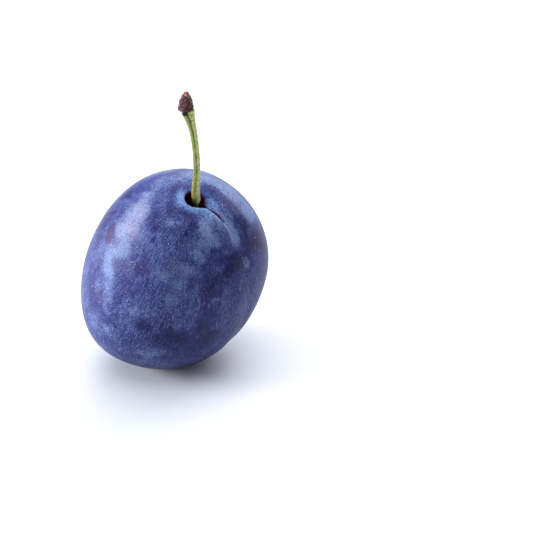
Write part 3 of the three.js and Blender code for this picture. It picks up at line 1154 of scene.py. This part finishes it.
    def patch_sum(
        self,
        bench: NodeBench,
        effects: Effects,
        form: FruitForm,
        place: Socket,
        ragged: Socket,
        kind: PatchKind,
    ) -> Socket | float:
        """Adds up the patches of one kind.

        Each patch lies with its length along the meridian through its middle, turned by its
        slant.

        Args:
            bench: The material's bench.
            effects: The shared effects.
            form: The fruit's form.
            place: The place in the fruit's own frame.
            ragged: How far the patches' edges wander.
            kind: The kind to add up.

        Returns:
            The sum, or 0 if there are none.
        """
        total: Socket | float = 0.0
        for patch in SKIN_PATCHES[kind]:
            polar, azimuth = math.radians(patch.polar), math.radians(patch.azimuth)
            middle = Vector(form.surface(np.array(polar), np.array(azimuth))[0])
            outward = Vector(direction(polar, azimuth))
            across = Vector((-math.sin(azimuth), math.cos(azimuth), 0))
            slant = math.radians(patch.slant)
            along = outward.cross(across) * math.cos(slant) - across * math.sin(slant)
            node = use(
                bench,
                effects.patch,
                Place=place,
                Middle=tuple(middle),
                Lengthwise=tuple(along),
                Across=patch.across,
                Along=patch.along,
                Raggedness=ragged,
                Strength=patch.strength,
                Sum=total,
            )
            node.label = patch.name
            total = node.outputs["Sum"]
        return total


@dataclass(frozen=True)
class GreenStalk:
    """The finish of the stalk: dull yellow-green, streaked, downy, browner at its foot."""

    green: Colour = (0.300, 0.370, 0.095, 1)
    dark_green: Colour = (0.132, 0.165, 0.044, 1)
    pale: Colour = (0.860, 0.880, 0.400, 1)
    brown: Colour = (0.380, 0.210, 0.080, 1)
    vein: Colour = (0.070, 0.130, 0.012, 1)
    down: Colour = (0.9, 0.95, 0.7, 1)
    vein_azimuth: float = -98.0
    vein_half_width: float = 0.22
    vein_heights: tuple[float, float] = (15.0, 19.5)
    vein_strengths: tuple[float, float] = (0.45, 1.0)
    # Painted shade: the stalk's left side darkened in colour.
    shaded_azimuth: float = -140.0
    shaded_half_width: float = 1.3
    shaded_heights: tuple[float, float] = (1.0, 6.0)
    shaded_strengths: tuple[float, float] = (0.6, 0.92)
    # The pale side: partly the stalk's own colour, partly painted light.
    pale_azimuth: float = -35.0
    pale_half_width: float = 1.4
    pale_strength: float = 0.75
    pale_all_round: float = 0.05
    pale_grain: tuple[float, float] = (0.2, 0.65)
    brown_azimuths: tuple[float, float] = (188.0, -6.0)
    brown_half_width: float = 0.85
    brown_heights: tuple[float, float] = (4.0, 20.0)
    brown_strengths: tuple[float, float] = (1.0, 0.1)
    brown_grain: tuple[float, float] = (0.75, 0.3)
    streak_weave: tuple[float, float, float] = (2.2, 7.0, 0.3)
    fine_weave: tuple[float, float, float] = (5.5, 2.2, 0.5)
    streak_range: tuple[float, float] = (0.30, 0.70)
    sway_noise: tuple[float, float, float] = (0.5, 2.0, 0.6)
    crumb_noise: tuple[float, float, float] = (3.2, 2.0, 0.7)
    crumb_range: tuple[float, float] = (0.36, 0.64)
    crumb_shades: tuple[float, float] = (0.55, 1.25)
    pore_pattern: tuple[float, float, float] = (0.8, 0.13, 0.3)
    pore_strength: float = 0.7
    roughness: float = 0.62
    specular: float = 0.15
    sheen: float = 0.04
    bump: tuple[float, float] = (0.7, 0.08)

    def band(self, bench: NodeBench, around: Socket, azimuth: float, half_width: float) -> Socket:
        """A lengthwise band: 1 at an azimuth round the stalk, 0 past its half width in radians.

        The cosine of the angle to the azimuth is remapped from that of the half width to that
        of a third of it.

        Args:
            bench: The material's bench.
            around: The unit direction from the stalk's middle line.
            azimuth: The band's azimuth in degrees.
            half_width: Its half width in radians.

        Returns:
            The mask.
        """
        towards = (math.cos(math.radians(azimuth)), math.sin(math.radians(azimuth)), 0.0)
        cosine = bench.vector("DOT_PRODUCT", around, towards, number=True)
        return bench.remap(cosine, math.cos(half_width), math.cos(half_width / 3))

    def dress(self, effects: Effects) -> bpy.types.Material:
        """Makes the material.

        Streaks run along the stalk between dark and mid green. One side is darkened as
        painted shade; the other is pale, partly its own colour and partly painted light. A
        dark vein runs down from the knob, and the two edges are brown towards the foot. The
        vein and the bands sway a little. Pale pores are scattered over it, and crumbs of
        darker and lighter tone cover it all.

        Args:
            effects: The shared effects.

        Returns:
            The material.
        """
        material, bench, shader = new_material("green_stalk")
        place = read_marks(bench, PLACE)
        across, beside, height = bench.split(place)
        streak = streaks(bench, effects, place, self.streak_weave)
        fine = streaks(bench, effects, place, self.fine_weave)
        pore, _ = dots(bench, effects, place, self.pore_pattern)
        sway = bench.minus(bench.noise(bench.join(Z=height), *self.sway_noise), 0.5)
        straight = bench.vector("NORMALIZE", bench.join(X=across, Y=beside))
        around = bench.vector("ADD", straight, bench.join(X=sway))
        around = bench.vector("NORMALIZE", around)

        colour = bench.blend(bench.remap(streak, *self.streak_range), self.dark_green, self.green)
        # Paler side: partly the stalk's own colour, partly painted light.
        pale = self.band(bench, around, self.pale_azimuth, self.pale_half_width)
        pale = bench.plus(self.pale_all_round, pale, self.pale_strength)
        pale = bench.times(pale, bench.remap(fine, *self.pale_grain))
        colour = bench.blend(pale, colour, self.pale)
        # Painted shade on the left side.
        shaded = self.band(bench, around, self.shaded_azimuth, self.shaded_half_width)
        strength = bench.remap(height, *self.shaded_heights, *self.shaded_strengths)
        colour = bench.blend(bench.times(shaded, strength), colour, self.dark_green)
        vein = self.band(bench, around, self.vein_azimuth, self.vein_half_width)
        strength = bench.remap(height, *self.vein_heights, *self.vein_strengths)
        colour = bench.blend(bench.times(vein, strength), colour, self.vein)
        strength = bench.remap(height, *self.brown_heights, *self.brown_strengths)
        strength = bench.times(strength, bench.remap(fine, *self.brown_grain))
        for azimuth in self.brown_azimuths:
            edge = self.band(bench, straight, azimuth, self.brown_half_width)
            colour = bench.blend(bench.times(edge, strength), colour, self.brown)
        colour = bench.blend(bench.times(pore, self.pore_strength), colour, self.pale)
        crumbs = bench.noise(place, *self.crumb_noise)
        crumbs = bench.remap(crumbs, *self.crumb_range, *self.crumb_shades)
        colour = bench.scaled(colour, crumbs)
        constants = {
            "Roughness": self.roughness,
            "Specular IOR Level": self.specular,
            "Sheen Weight": self.sheen,
            "Sheen Tint": self.down,
        }
        finish_surface(bench, shader, colour, bench.plus(streak, fine), self.bump, constants)
        return material


@dataclass(frozen=True)
class CorkyScale:
    """The finish of the knob: dry red-brown scales with paler, orange edges."""

    dark: Colour = (0.018, 0.006, 0.008, 1)
    red: Colour = (0.130, 0.038, 0.045, 1)
    edge: Colour = (0.620, 0.330, 0.230, 1)
    dust: Colour = (1.0, 0.74, 0.72, 1)
    axis_foot: tuple[float, float, float] = (3.6, -6.0, 0.0)
    # Painted shade on the side towards the camera.
    painted_shade_side: tuple[float, float, float] = (0.2, -0.98, 0.0)
    painted_shade_range: tuple[float, float] = (0.3, 0.95)
    painted_shade_wear: float = -0.45
    height_wear: float = 0.75
    wear_range: tuple[float, float] = (0.55, 1.15)
    ridge_range: tuple[float, float] = (0.25, 0.95)
    cloud_sizes: tuple[float, float] = (0.9, 0.3)
    wrinkle_stretch: tuple[float, float, float] = (0.4, 0.4, 1.0)
    wrinkle_noise: tuple[float, float, float] = (4.2, 2.0, 0.6)
    wrinkle_range: tuple[float, float] = (0.42, 0.58)
    roughness: float = 0.7
    specular: float = 0.2
    sheen: float = 0.25
    bump: tuple[float, float] = (0.8, 0.10)

    def dress(self, effects: Effects) -> bpy.types.Material:
        """Makes the material.

        The kept vector holds how near a point is to a scale's ridge, a random tone of the
        scale, and the height. Fine level wrinkles cover the ridges. Both are red-brown where
        they are raised and nearly black between, and the raised parts of some scales are
        pale, most of all towards the tip. On the side towards the camera the scales stay
        dark as painted shade, which leaves the pale edges towards the outline as painted
        rim light.

        Args:
            effects: The shared effects.

        Returns:
            The material.
        """
        material, bench, shader = new_material("corky_scale")
        near_ridge, random_tone, height = bench.split(read_marks(bench, PLACE))
        place = bench.scaled(bench.add("ShaderNodeTexCoord").outputs["Object"], 1 / MM)
        cloud, small_cloud = clouds_of(bench, effects, place, self.cloud_sizes)
        lying = bench.vector("MULTIPLY", place, self.wrinkle_stretch)
        wrinkle = bench.remap(bench.noise(lying, *self.wrinkle_noise), *self.wrinkle_range)
        tone = bench.between(0.5, cloud, random_tone)
        wear_and_painted_shade = bench.plus(tone, height, self.height_wear)
        # Painted shade: the side towards the camera is kept dark, so the pale edges show towards the
        # outline as painted rim light.
        out = bench.vector("SUBTRACT", place, self.axis_foot)
        out = bench.vector("NORMALIZE", bench.vector("MULTIPLY", out, (1.0, 1.0, 0.0)))
        shaded_front = bench.vector("DOT_PRODUCT", out, self.painted_shade_side, number=True)
        shaded_front = bench.remap(shaded_front, *self.painted_shade_range)
        wear_and_painted_shade = bench.plus(wear_and_painted_shade, shaded_front, self.painted_shade_wear)
        raised = bench.times(bench.remap(near_ridge, *self.ridge_range), wrinkle)
        colour = bench.blend(raised, self.dark, self.red)
        edge = bench.times(raised, bench.remap(wear_and_painted_shade, *self.wear_range))
        colour = bench.blend(edge, colour, self.edge)
        constants = {
            "Roughness": self.roughness,
            "Specular IOR Level": self.specular,
            "Sheen Weight": self.sheen,
            "Sheen Tint": self.dust,
        }
        relief = bench.plus(wrinkle, small_cloud)
        finish_surface(bench, shader, colour, relief, self.bump, constants)
        return material


@dataclass
class Fruit:
    """The fruit: its form, how it lies, and its grid of points."""

    form: FruitForm
    lying: Lying
    sides: int = 384
    suture_crowding: float = 0.6
    rest_rounding: float = 0.2
    stretches: tuple[tuple[float, int], ...] = (
        (0.10, 10),
        (0.155, 30),
        (0.50, 72),
        (2.90, 122),
        (math.pi, 20),
    )

    def polars(self) -> Array:
        """The polar angles of the rows, in stretches that each end at a given angle."""
        stops = [np.zeros(1)]
        for end, steps in self.stretches:
            start = stops[-1][-1]
            stops.append(np.linspace(start, end, steps + 1)[1:])
        return np.concatenate(stops)[1:-1]

    def build(self) -> tuple[bpy.types.Object, Vector]:
        """Makes the fruit and finds where its centre is.

        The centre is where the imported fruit's box says. Below the surface that it rests on,
        the skin is pressed flat: under a small height z becomes (z + height) squared over 4
        heights, which meets both the skin and the flat smoothly.

        Returns:
            The piece, and its centre in metres.
        """
        polar = self.polars()[:, None]
        turn = full_turn(self.sides)[None]
        azimuth = turn - self.suture_crowding * np.sin(turn)
        rows, marks = self.form.surface(polar, azimuth)
        rows = self.lying.lay(rows) * MM
        ends, end_marks = self.form.surface(np.array([0.0, np.pi]), np.zeros(2))
        ends = self.lying.lay(ends) * MM
        low, high = (np.array(corner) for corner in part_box("fruit"))
        own_low, own_high = rows.min(axis=(0, 1)), rows.max(axis=(0, 1))
        centre = (low + high - own_low - own_high) / 2
        centre[2] = high[2] - own_high[2]
        rows += centre
        ends += centre
        near = self.rest_rounding * MM
        height = rows[..., 2]
        pressed = np.clip(height + near, 0, None) ** 2 / (4 * near)
        rows[..., 2] = np.where(height < near, pressed, height)
        marks = np.vstack([end_marks[:1], marks.reshape(-1, 3), end_marks[1:]])
        mesh = make_mesh("fruit_skin", [Shell(ends[0], rows, ends[1], marks)], MARKS)
        return add_piece("fruit_skin", mesh, Slot.SKIN, "fruit"), Vector(centre)


@dataclass
class Stalk:
    """The stalk: a round rod along a curve, with faint ribs, flared under the knob."""

    route: tuple[tuple[float, float, float], ...] = (
        (5.0, -6.75, 18.5),
        (5.0, -7.4, 21.2),
        (5.25, -7.85, 25.2),
        (5.3, -7.9, 28.9),
        (5.12, -7.65, 32.15),
        (4.72, -7.2, 35.3),
        (4.05, -6.6, 38.2),
        (3.68, -6.25, 39.5),
    )
    radius: float = 0.69
    foot_swelling: float = 0.18
    foot_height: float = 5.5
    foot_reach: float = 5.2
    neck: float = 0.42
    neck_heights: tuple[float, float] = (2.2, 4.8)
    top_swelling: float = 0.80
    top_reach: float = 2.2
    ribs: int = 5
    rib_height: float = 0.035
    rib_twist: float = 0.12
    sunk: float = 0.5
    sides: int = 48
    steps: int = 260

    def line(self, start: Array) -> Array:
        """The centre line: a natural cubic spline through the route, at even parameters.

        Args:
            start: Where the stalk leaves the fruit, from the fruit's centre.

        Returns:
            Points from the foot to the top.
        """
        knots = np.vstack([start, np.array(self.route)])
        spans = np.linalg.norm(np.diff(knots, axis=0), axis=1)
        marks = np.concatenate([[0], np.cumsum(spans)])
        size = len(knots)
        system = np.eye(size)
        sides = np.zeros((size, 3))
        inner = np.arange(1, size - 1)
        before, after = spans[:-1, None], spans[1:, None]
        system[inner, inner - 1] = spans[:-1]
        system[inner, inner] = 2 * (spans[:-1] + spans[1:])
        system[inner, inner + 1] = spans[1:]
        rises = (knots[2:] - knots[1:-1]) / after - (knots[1:-1] - knots[:-2]) / before
        sides[inner] = 6 * rises
        bends = np.linalg.solve(system, sides)
        at = np.linspace(0, marks[-1], self.steps)
        span = np.clip(np.searchsorted(marks, at, side="right") - 1, 0, size - 2)
        gap = spans[span][:, None]
        ahead = (marks[span + 1] - at)[:, None]
        behind = (at - marks[span])[:, None]
        curve = (bends[span] * ahead**3 + bends[span + 1] * behind**3) / (6 * gap)
        curve += (knots[span] / gap - bends[span] * gap / 6) * ahead
        curve += (knots[span + 1] / gap - bends[span + 1] * gap / 6) * behind
        return curve

    def build(self, fruit: Fruit, centre: Vector) -> tuple[bpy.types.Object, Array]:
        """Makes the stalk.

        Each row is a circle across the line. Its radius swells by a bell above the foot and
        exponentially towards the top, narrows smoothly inside the hole, and is multiplied by
        faint ribs that twist slowly.

        Args:
            fruit: The fruit that it grows from.
            centre: The fruit's centre.

        Returns:
            The piece, and the line's last two points in metres.
        """
        form = fruit.form
        floor = form.half_length - form.bowl_depth - form.hole_depth
        start = fruit.lying.lay(np.array([0, 0, floor - self.sunk]))
        line = self.line(start)
        steps = np.linalg.norm(np.diff(line, axis=0), axis=1)
        height = np.concatenate([[0], np.cumsum(steps)])
        along = unit(np.gradient(line, axis=0))
        across = unit(np.cross((0.0, 1.0, 0.0), along))
        beside = np.cross(along, across)
        around = full_turn(self.sides)
        radius = self.radius + self.foot_swelling * bell(height - self.foot_height, self.foot_reach)
        radius = radius - self.neck * (1 - smooth(height, *self.neck_heights))
        radius = radius + self.top_swelling * np.exp((height - height[-1]) / self.top_reach)
        phase = self.ribs * around + self.rib_twist * height[:, None]
        radii = radius[:, None] * (1 + self.rib_height * np.cos(phase))
        parts = radii * np.cos(around), radii * np.sin(around), height[:, None]
        own = np.stack(np.broadcast_arrays(*parts), axis=-1)
        rows = line[:, None] + own[..., :1] * across[:, None] + own[..., 1:2] * beside[:, None]
        rows = rows[::-1] * MM + np.array(centre)
        ends = line[[-1, 0]] * MM + np.array(centre)
        tips = np.array([[0, 0, height[-1]], [0, 0, 0]])
        marks = np.vstack([tips[:1], own[::-1].reshape(-1, 3), tips[1:]])
        mesh = make_mesh("stalk_rod", [Shell(ends[0], rows, ends[1], marks)], PLACE)
        piece = add_piece("stalk_rod", mesh, Slot.STALK, "stalk")
        return piece, line[[-2, -1]] * MM + np.array(centre)


@dataclass
class Knob:
    """The corky knob: a blunt cone of scale rings, a loose scale and a few fibres."""

    tip: tuple[float, float, float] = (3.3, -5.1, 43.5)
    foot_shift: tuple[float, float, float] = (-0.48, 0.0, 0.1)
    radius: float = 1.56
    neck: float = 0.12
    neck_reach: float = 0.06
    taper: float = 2.4
    bluntness: float = 0.72
    rings: float = 7.5
    ring_lift: float = 0.13
    ring_wander: float = 0.32
    finer_wander: float = 0.5
    finer_lag: float = 3
    ring_start: int = 2
    groove: float = 0.6
    scales: int = 6
    scale_lift: float = 0.10
    scale_turn: float = 2.4
    tone_count: int = 16
    mark_gain: float = 1.3
    tip_mark: tuple[float, float, float] = (1.0, 0.8, 1.0)
    foot_mark: tuple[float, float, float] = (0.0, 0.5, 0.0)
    wrinkle: float = 0.010
    wrinkle_pitch: float = 0.40
    wrinkle_spread: tuple[float, float] = (0.6, 1.6)
    wrinkle_count: int = 12
    seed: int = 5
    sides: int = 160
    steps: int = 170
    tongue_place: tuple[float, float, float] = (3.05, -7.6, 39.8)
    tongue_size: tuple[float, float, float] = (0.56, 0.26, 0.66)
    tongue_tilt: float = -20.0
    tongue_rows: int = 32
    tongue_sides: int = 40
    tongue_wrinkle: float = 0.6
    tongue_ridge: tuple[float, float] = (0.35, 0.3)
    tongue_mark: tuple[float, float, float] = (0.5, 0.25, 0.0)
    fibres: int = 7
    fibre_length: float = 0.55
    fibre_radius: float = 0.075
    fibre_lengths: tuple[float, float] = (0.8, 1.5)
    fibre_leans: tuple[float, float] = (0.2, 0.55)
    fibre_foot: tuple[float, float] = (0.3, -0.55)
    fibre_rows: int = 8
    fibre_sides: int = 8

    def build(self, foot: Array, centre: Vector) -> bpy.types.Object:
        """Makes the knob with its loose scale and its fibres.

        Args:
            foot: The stalk's end, in metres.
            centre: The fruit's centre, in metres.

        Returns:
            The piece.
        """
        tip = np.array(centre) + np.array(self.tip) * MM
        foot = foot + np.array(self.foot_shift) * MM
        turn = np.array(Vector(tip - foot).to_track_quat("Z", "Y").to_matrix())
        cone = self.cone(foot, tip, turn)
        tongue = self.tongue(np.array(centre))
        fibres = [self.fibre(number, tip, turn) for number in range(self.fibres)]
        mesh = make_mesh("knob_scales", [cone, tongue, *fibres], PLACE)
        return add_piece("knob_scales", mesh, Slot.KNOB, "stalk_knob")

    def wrinkles(self, places: Array) -> Array:
        """Fine wrinkles: a sum of cosine waves with seeded directions, over millimetres."""
        draw = np.random.default_rng(self.seed)
        waves = unit(draw.normal(0, 1, (self.wrinkle_count, 3))) * (2 * np.pi / self.wrinkle_pitch)
        waves = waves * draw.uniform(*self.wrinkle_spread, (self.wrinkle_count, 1))
        phases = draw.uniform(0, 2 * np.pi, self.wrinkle_count)
        return np.cos(places @ waves.T + phases).sum(axis=-1)

    def cone(self, foot: Array, tip: Array, turn: Array) -> Shell:
        """Makes the cone of scale rings.

        The radius is the widest one times a neck, which dips exponentially at the foot, and
        a taper, a power curve that ends blunt at the tip. Rings that wander up and down lift
        it by the root of a sine, so they meet in sharp grooves; each is cut into a few
        scales, and fine wrinkles cover them.

        Args:
            foot: The middle of its foot, in metres.
            tip: Its tip.
            turn: The rotation from upright to its axis.

        Returns:
            The shell, marked with how near a point is to a ridge, a tone and the height.
        """
        length = float(np.linalg.norm(tip - foot)) / MM
        share = np.linspace(1, 0, self.steps + 1)[1:, None]
        around = full_turn(self.sides)[None]
        neck = 1 - self.neck * np.exp(-share / self.neck_reach)
        taper = (1 - share**self.taper) ** self.bluntness
        finer = np.sin(2 * around - self.finer_lag * share)
        wander = np.sin(around + self.rings * share) + self.finer_wander * finer
        rings = share * self.rings + self.ring_wander * wander + self.ring_start
        number = np.floor(rings)
        ridge = np.sqrt(np.abs(np.sin(np.pi * rings)))
        turned = self.scales / 2 * around + self.scale_turn * number
        cut = np.sqrt(np.abs(np.sin(turned)))
        lifted = self.ring_lift * (ridge - self.groove)
        lifted = lifted + self.scale_lift * (cut - self.groove) * ridge
        radius = self.radius * neck * taper + lifted * taper**0.5
        parts = np.broadcast_arrays(radius * np.cos(around), radius * np.sin(around), share * length)
        own = np.stack(parts, axis=-1)
        bumps = self.wrinkles(own)
        own[..., :2] *= (1 + self.wrinkle * bumps)[..., None]
        rows = own @ turn.T * MM + foot
        draw = np.random.default_rng(self.seed)
        tones = draw.uniform(0, 1, (self.tone_count, self.scales))
        sector = np.floor(turned / np.pi).astype(int)
        tone = tones[number.astype(int), sector % self.scales]
        near_ridge = ridge * np.clip(cut * self.mark_gain, 0, 1)
        marks = np.stack([near_ridge, tone, share + 0 * ridge], axis=-1).reshape(-1, 3)
        marks = np.vstack([[self.tip_mark], marks, [self.foot_mark]])
        return Shell(tip, rows, foot, marks)

    def tongue(self, centre: Array) -> Shell:
        """Makes the loose round scale that hangs over the stalk: a wrinkled ellipsoid."""
        polar = np.linspace(0, np.pi, self.tongue_rows + 2)[1:-1, None]
        around = full_turn(self.tongue_sides)[None]
        round_rows = direction(polar, around)
        bumps = 1 + self.tongue_wrinkle * self.wrinkle * self.wrinkles(round_rows)
        tilt = np.array(Matrix.Rotation(math.radians(self.tongue_tilt), 3, "X"))
        size = np.array(self.tongue_size)
        rows = (round_rows * bumps[..., None] * size) @ tilt.T
        ends = (np.array([[0, 0, 1.0], [0, 0, -1.0]]) * size) @ tilt.T
        place = np.array(self.tongue_place)
        rows = (rows + place) * MM + centre
        ends = (ends + place) * MM + centre
        marks = np.tile(self.tongue_mark, (self.tongue_rows * self.tongue_sides, 1))
        lowest, rise = self.tongue_ridge
        marks[:, 0] = (lowest + rise * round_rows[..., 2]).ravel()
        caps = np.array([self.tongue_mark])
        return Shell(ends[0], rows, ends[1], np.vstack([caps, marks, caps]))

    def fibre(self, number: int, tip: Array, turn: Array) -> Shell:
        """Makes one pale fibre at the tip: a thin cone that leans outwards.

        Args:
            number: Which one it is.
            tip: The knob's tip, in metres.
            turn: The rotation from upright to the knob's axis.

        Returns:
            The shell, marked as a pale edge.
        """
        draw = np.random.default_rng(self.seed + number)
        way = number * 2 * np.pi / self.fibres
        lean = draw.uniform(*self.fibre_leans)
        along = np.array([lean * np.cos(way), lean * np.sin(way), 1.0])
        beside_axis, height = self.fibre_foot
        start = np.array([beside_axis * np.cos(way), beside_axis * np.sin(way), height])
        share = np.linspace(1, 0, self.fibre_rows + 1)[1:, None, None]
        around = full_turn(self.fibre_sides)[None, :, None]
        radius = self.fibre_radius * (1 - share**2)
        length = self.fibre_length * draw.uniform(*self.fibre_lengths)
        circle = np.concatenate([np.cos(around), np.sin(around), 0 * around], axis=-1)
        rows = start + along * share * length + circle * radius
        ends = np.stack([start + along * length, start])
        rows = rows @ turn.T * MM + tip
        ends = ends @ turn.T * MM + tip
        marks = np.ones((self.fibre_rows * self.fibre_sides + 2, 3))
        return Shell(ends[0], rows, ends[1], marks)


@dataclass(frozen=True)
class Softbox:
    """One rectangular studio light."""

    name: str
    place: tuple[float, float, float]
    width: float
    height: float
    power: float

    def hang(self, aim: Vector) -> None:
        """Adds the light, turned to face the plum."""
        lamp = bpy.data.lights.new(self.name, "AREA")
        lamp.shape = "RECTANGLE"
        lamp.size = self.width
        lamp.size_y = self.height
        lamp.energy = self.power
        holder = add_object(self.name, lamp)
        holder.location = self.place
        holder.rotation_euler = (aim - Vector(self.place)).to_track_quat("-Z", "Y").to_euler()


@dataclass
class Studio:
    """The pale floor, the soft lights and the camera."""

    frame_pixels: float = 533.0
    fruit_pixel: tuple[float, float] = (173.9, 265.9)
    mm_per_pixel: float = 0.21
    distance: float = 600.0
    elevation: float = 30.0
    sensor: float = 36.0
    floor_side: float = 30.0
    floor_colour: Colour = (0.58, 0.60, 0.65, 1)
    floor_roughness: float = 0.6
    floor_specular: float = 0.2
    sky: Colour = (0.90, 0.94, 1.0, 1)
    sky_strength: float = 0.3
    softboxes: tuple[Softbox, ...] = (
        Softbox("left_softbox", (-0.70, 0.02, 0.17), 0.36, 0.28, 12.0),
        Softbox("back_softbox", (0.28, 0.66, 0.46), 1.0, 0.6, 10.0),
        Softbox("top_softbox", (-0.10, 0.05, 1.00), 1.2, 1.2, 14.0),
    )

    def build(self, centre: Vector) -> None:
        """Sets up the floor, the light and the camera.

        Args:
            centre: The fruit's centre, in metres.
        """
        scene = bpy.context.scene
        scene.view_settings.view_transform = "Standard"
        self.lay_floor()
        for softbox in self.softboxes:
            softbox.hang(centre)
        world = bpy.data.worlds.new("studio_air")
        world.use_nodes = True
        back = world.node_tree.nodes["Background"]
        back.inputs["Color"].default_value = self.sky
        back.inputs["Strength"].default_value = self.sky_strength
        scene.world = world
        scene.camera = self.aim_camera(centre)

    def lay_floor(self) -> None:
        """Adds the plain pale floor."""
        half = self.floor_side / 2
        corners = [(-half, -half, 0), (half, -half, 0), (half, half, 0), (-half, half, 0)]
        mesh = bpy.data.meshes.new("floor")
        mesh.from_pydata(corners, [], [(0, 1, 2, 3)])
        floor = add_object("floor", mesh)
        material, _, shader = new_material("pale_floor")
        shader.inputs["Base Color"].default_value = self.floor_colour
        shader.inputs["Roughness"].default_value = self.floor_roughness
        shader.inputs["Specular IOR Level"].default_value = self.floor_specular
        mesh.materials.append(material)

    def aim_camera(self, centre: Vector) -> bpy.types.Object:
        """Adds the camera, so that the fruit's centre falls on its pixel of the frame.

        Args:
            centre: The fruit's centre, in metres.

        Returns:
            The camera.
        """
        data = bpy.data.cameras.new("camera")
        data.sensor_width = self.sensor
        data.lens = self.distance / self.mm_per_pixel / self.frame_pixels * self.sensor
        camera = add_object("camera", data)
        turn = Euler((math.radians(90 - self.elevation), 0, 0))
        middle = self.frame_pixels / 2
        beside = (middle - self.fruit_pixel[0]) * self.mm_per_pixel
        above = (self.fruit_pixel[1] - middle) * self.mm_per_pixel
        offset = Vector((beside, above, self.distance)) * MM
        camera.rotation_euler = turn
        camera.location = centre + turn.to_matrix() @ offset
        return camera


def main() -> None:
    """Builds the plum piece by piece, dresses it and sets up the studio."""
    logging.basicConfig(level=logging.INFO, format="%(name)s: %(message)s")
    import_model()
    effects = Effects()
    fruit = Fruit(FruitForm(), Lying())
    skin_piece, centre = fruit.build()
    skin = BloomedSkin().dress(effects, fruit.form, fruit.lying, centre)
    skin_piece.data.materials.append(skin)
    stalk_piece, end = Stalk().build(fruit, centre)
    stalk_piece.data.materials.append(GreenStalk().dress(effects))
    knob_piece = Knob().build(end[1], centre)
    knob_piece.data.materials.append(CorkyScale().dress(effects))
    Studio().build(centre)


if __name__ == "__main__":
    main()
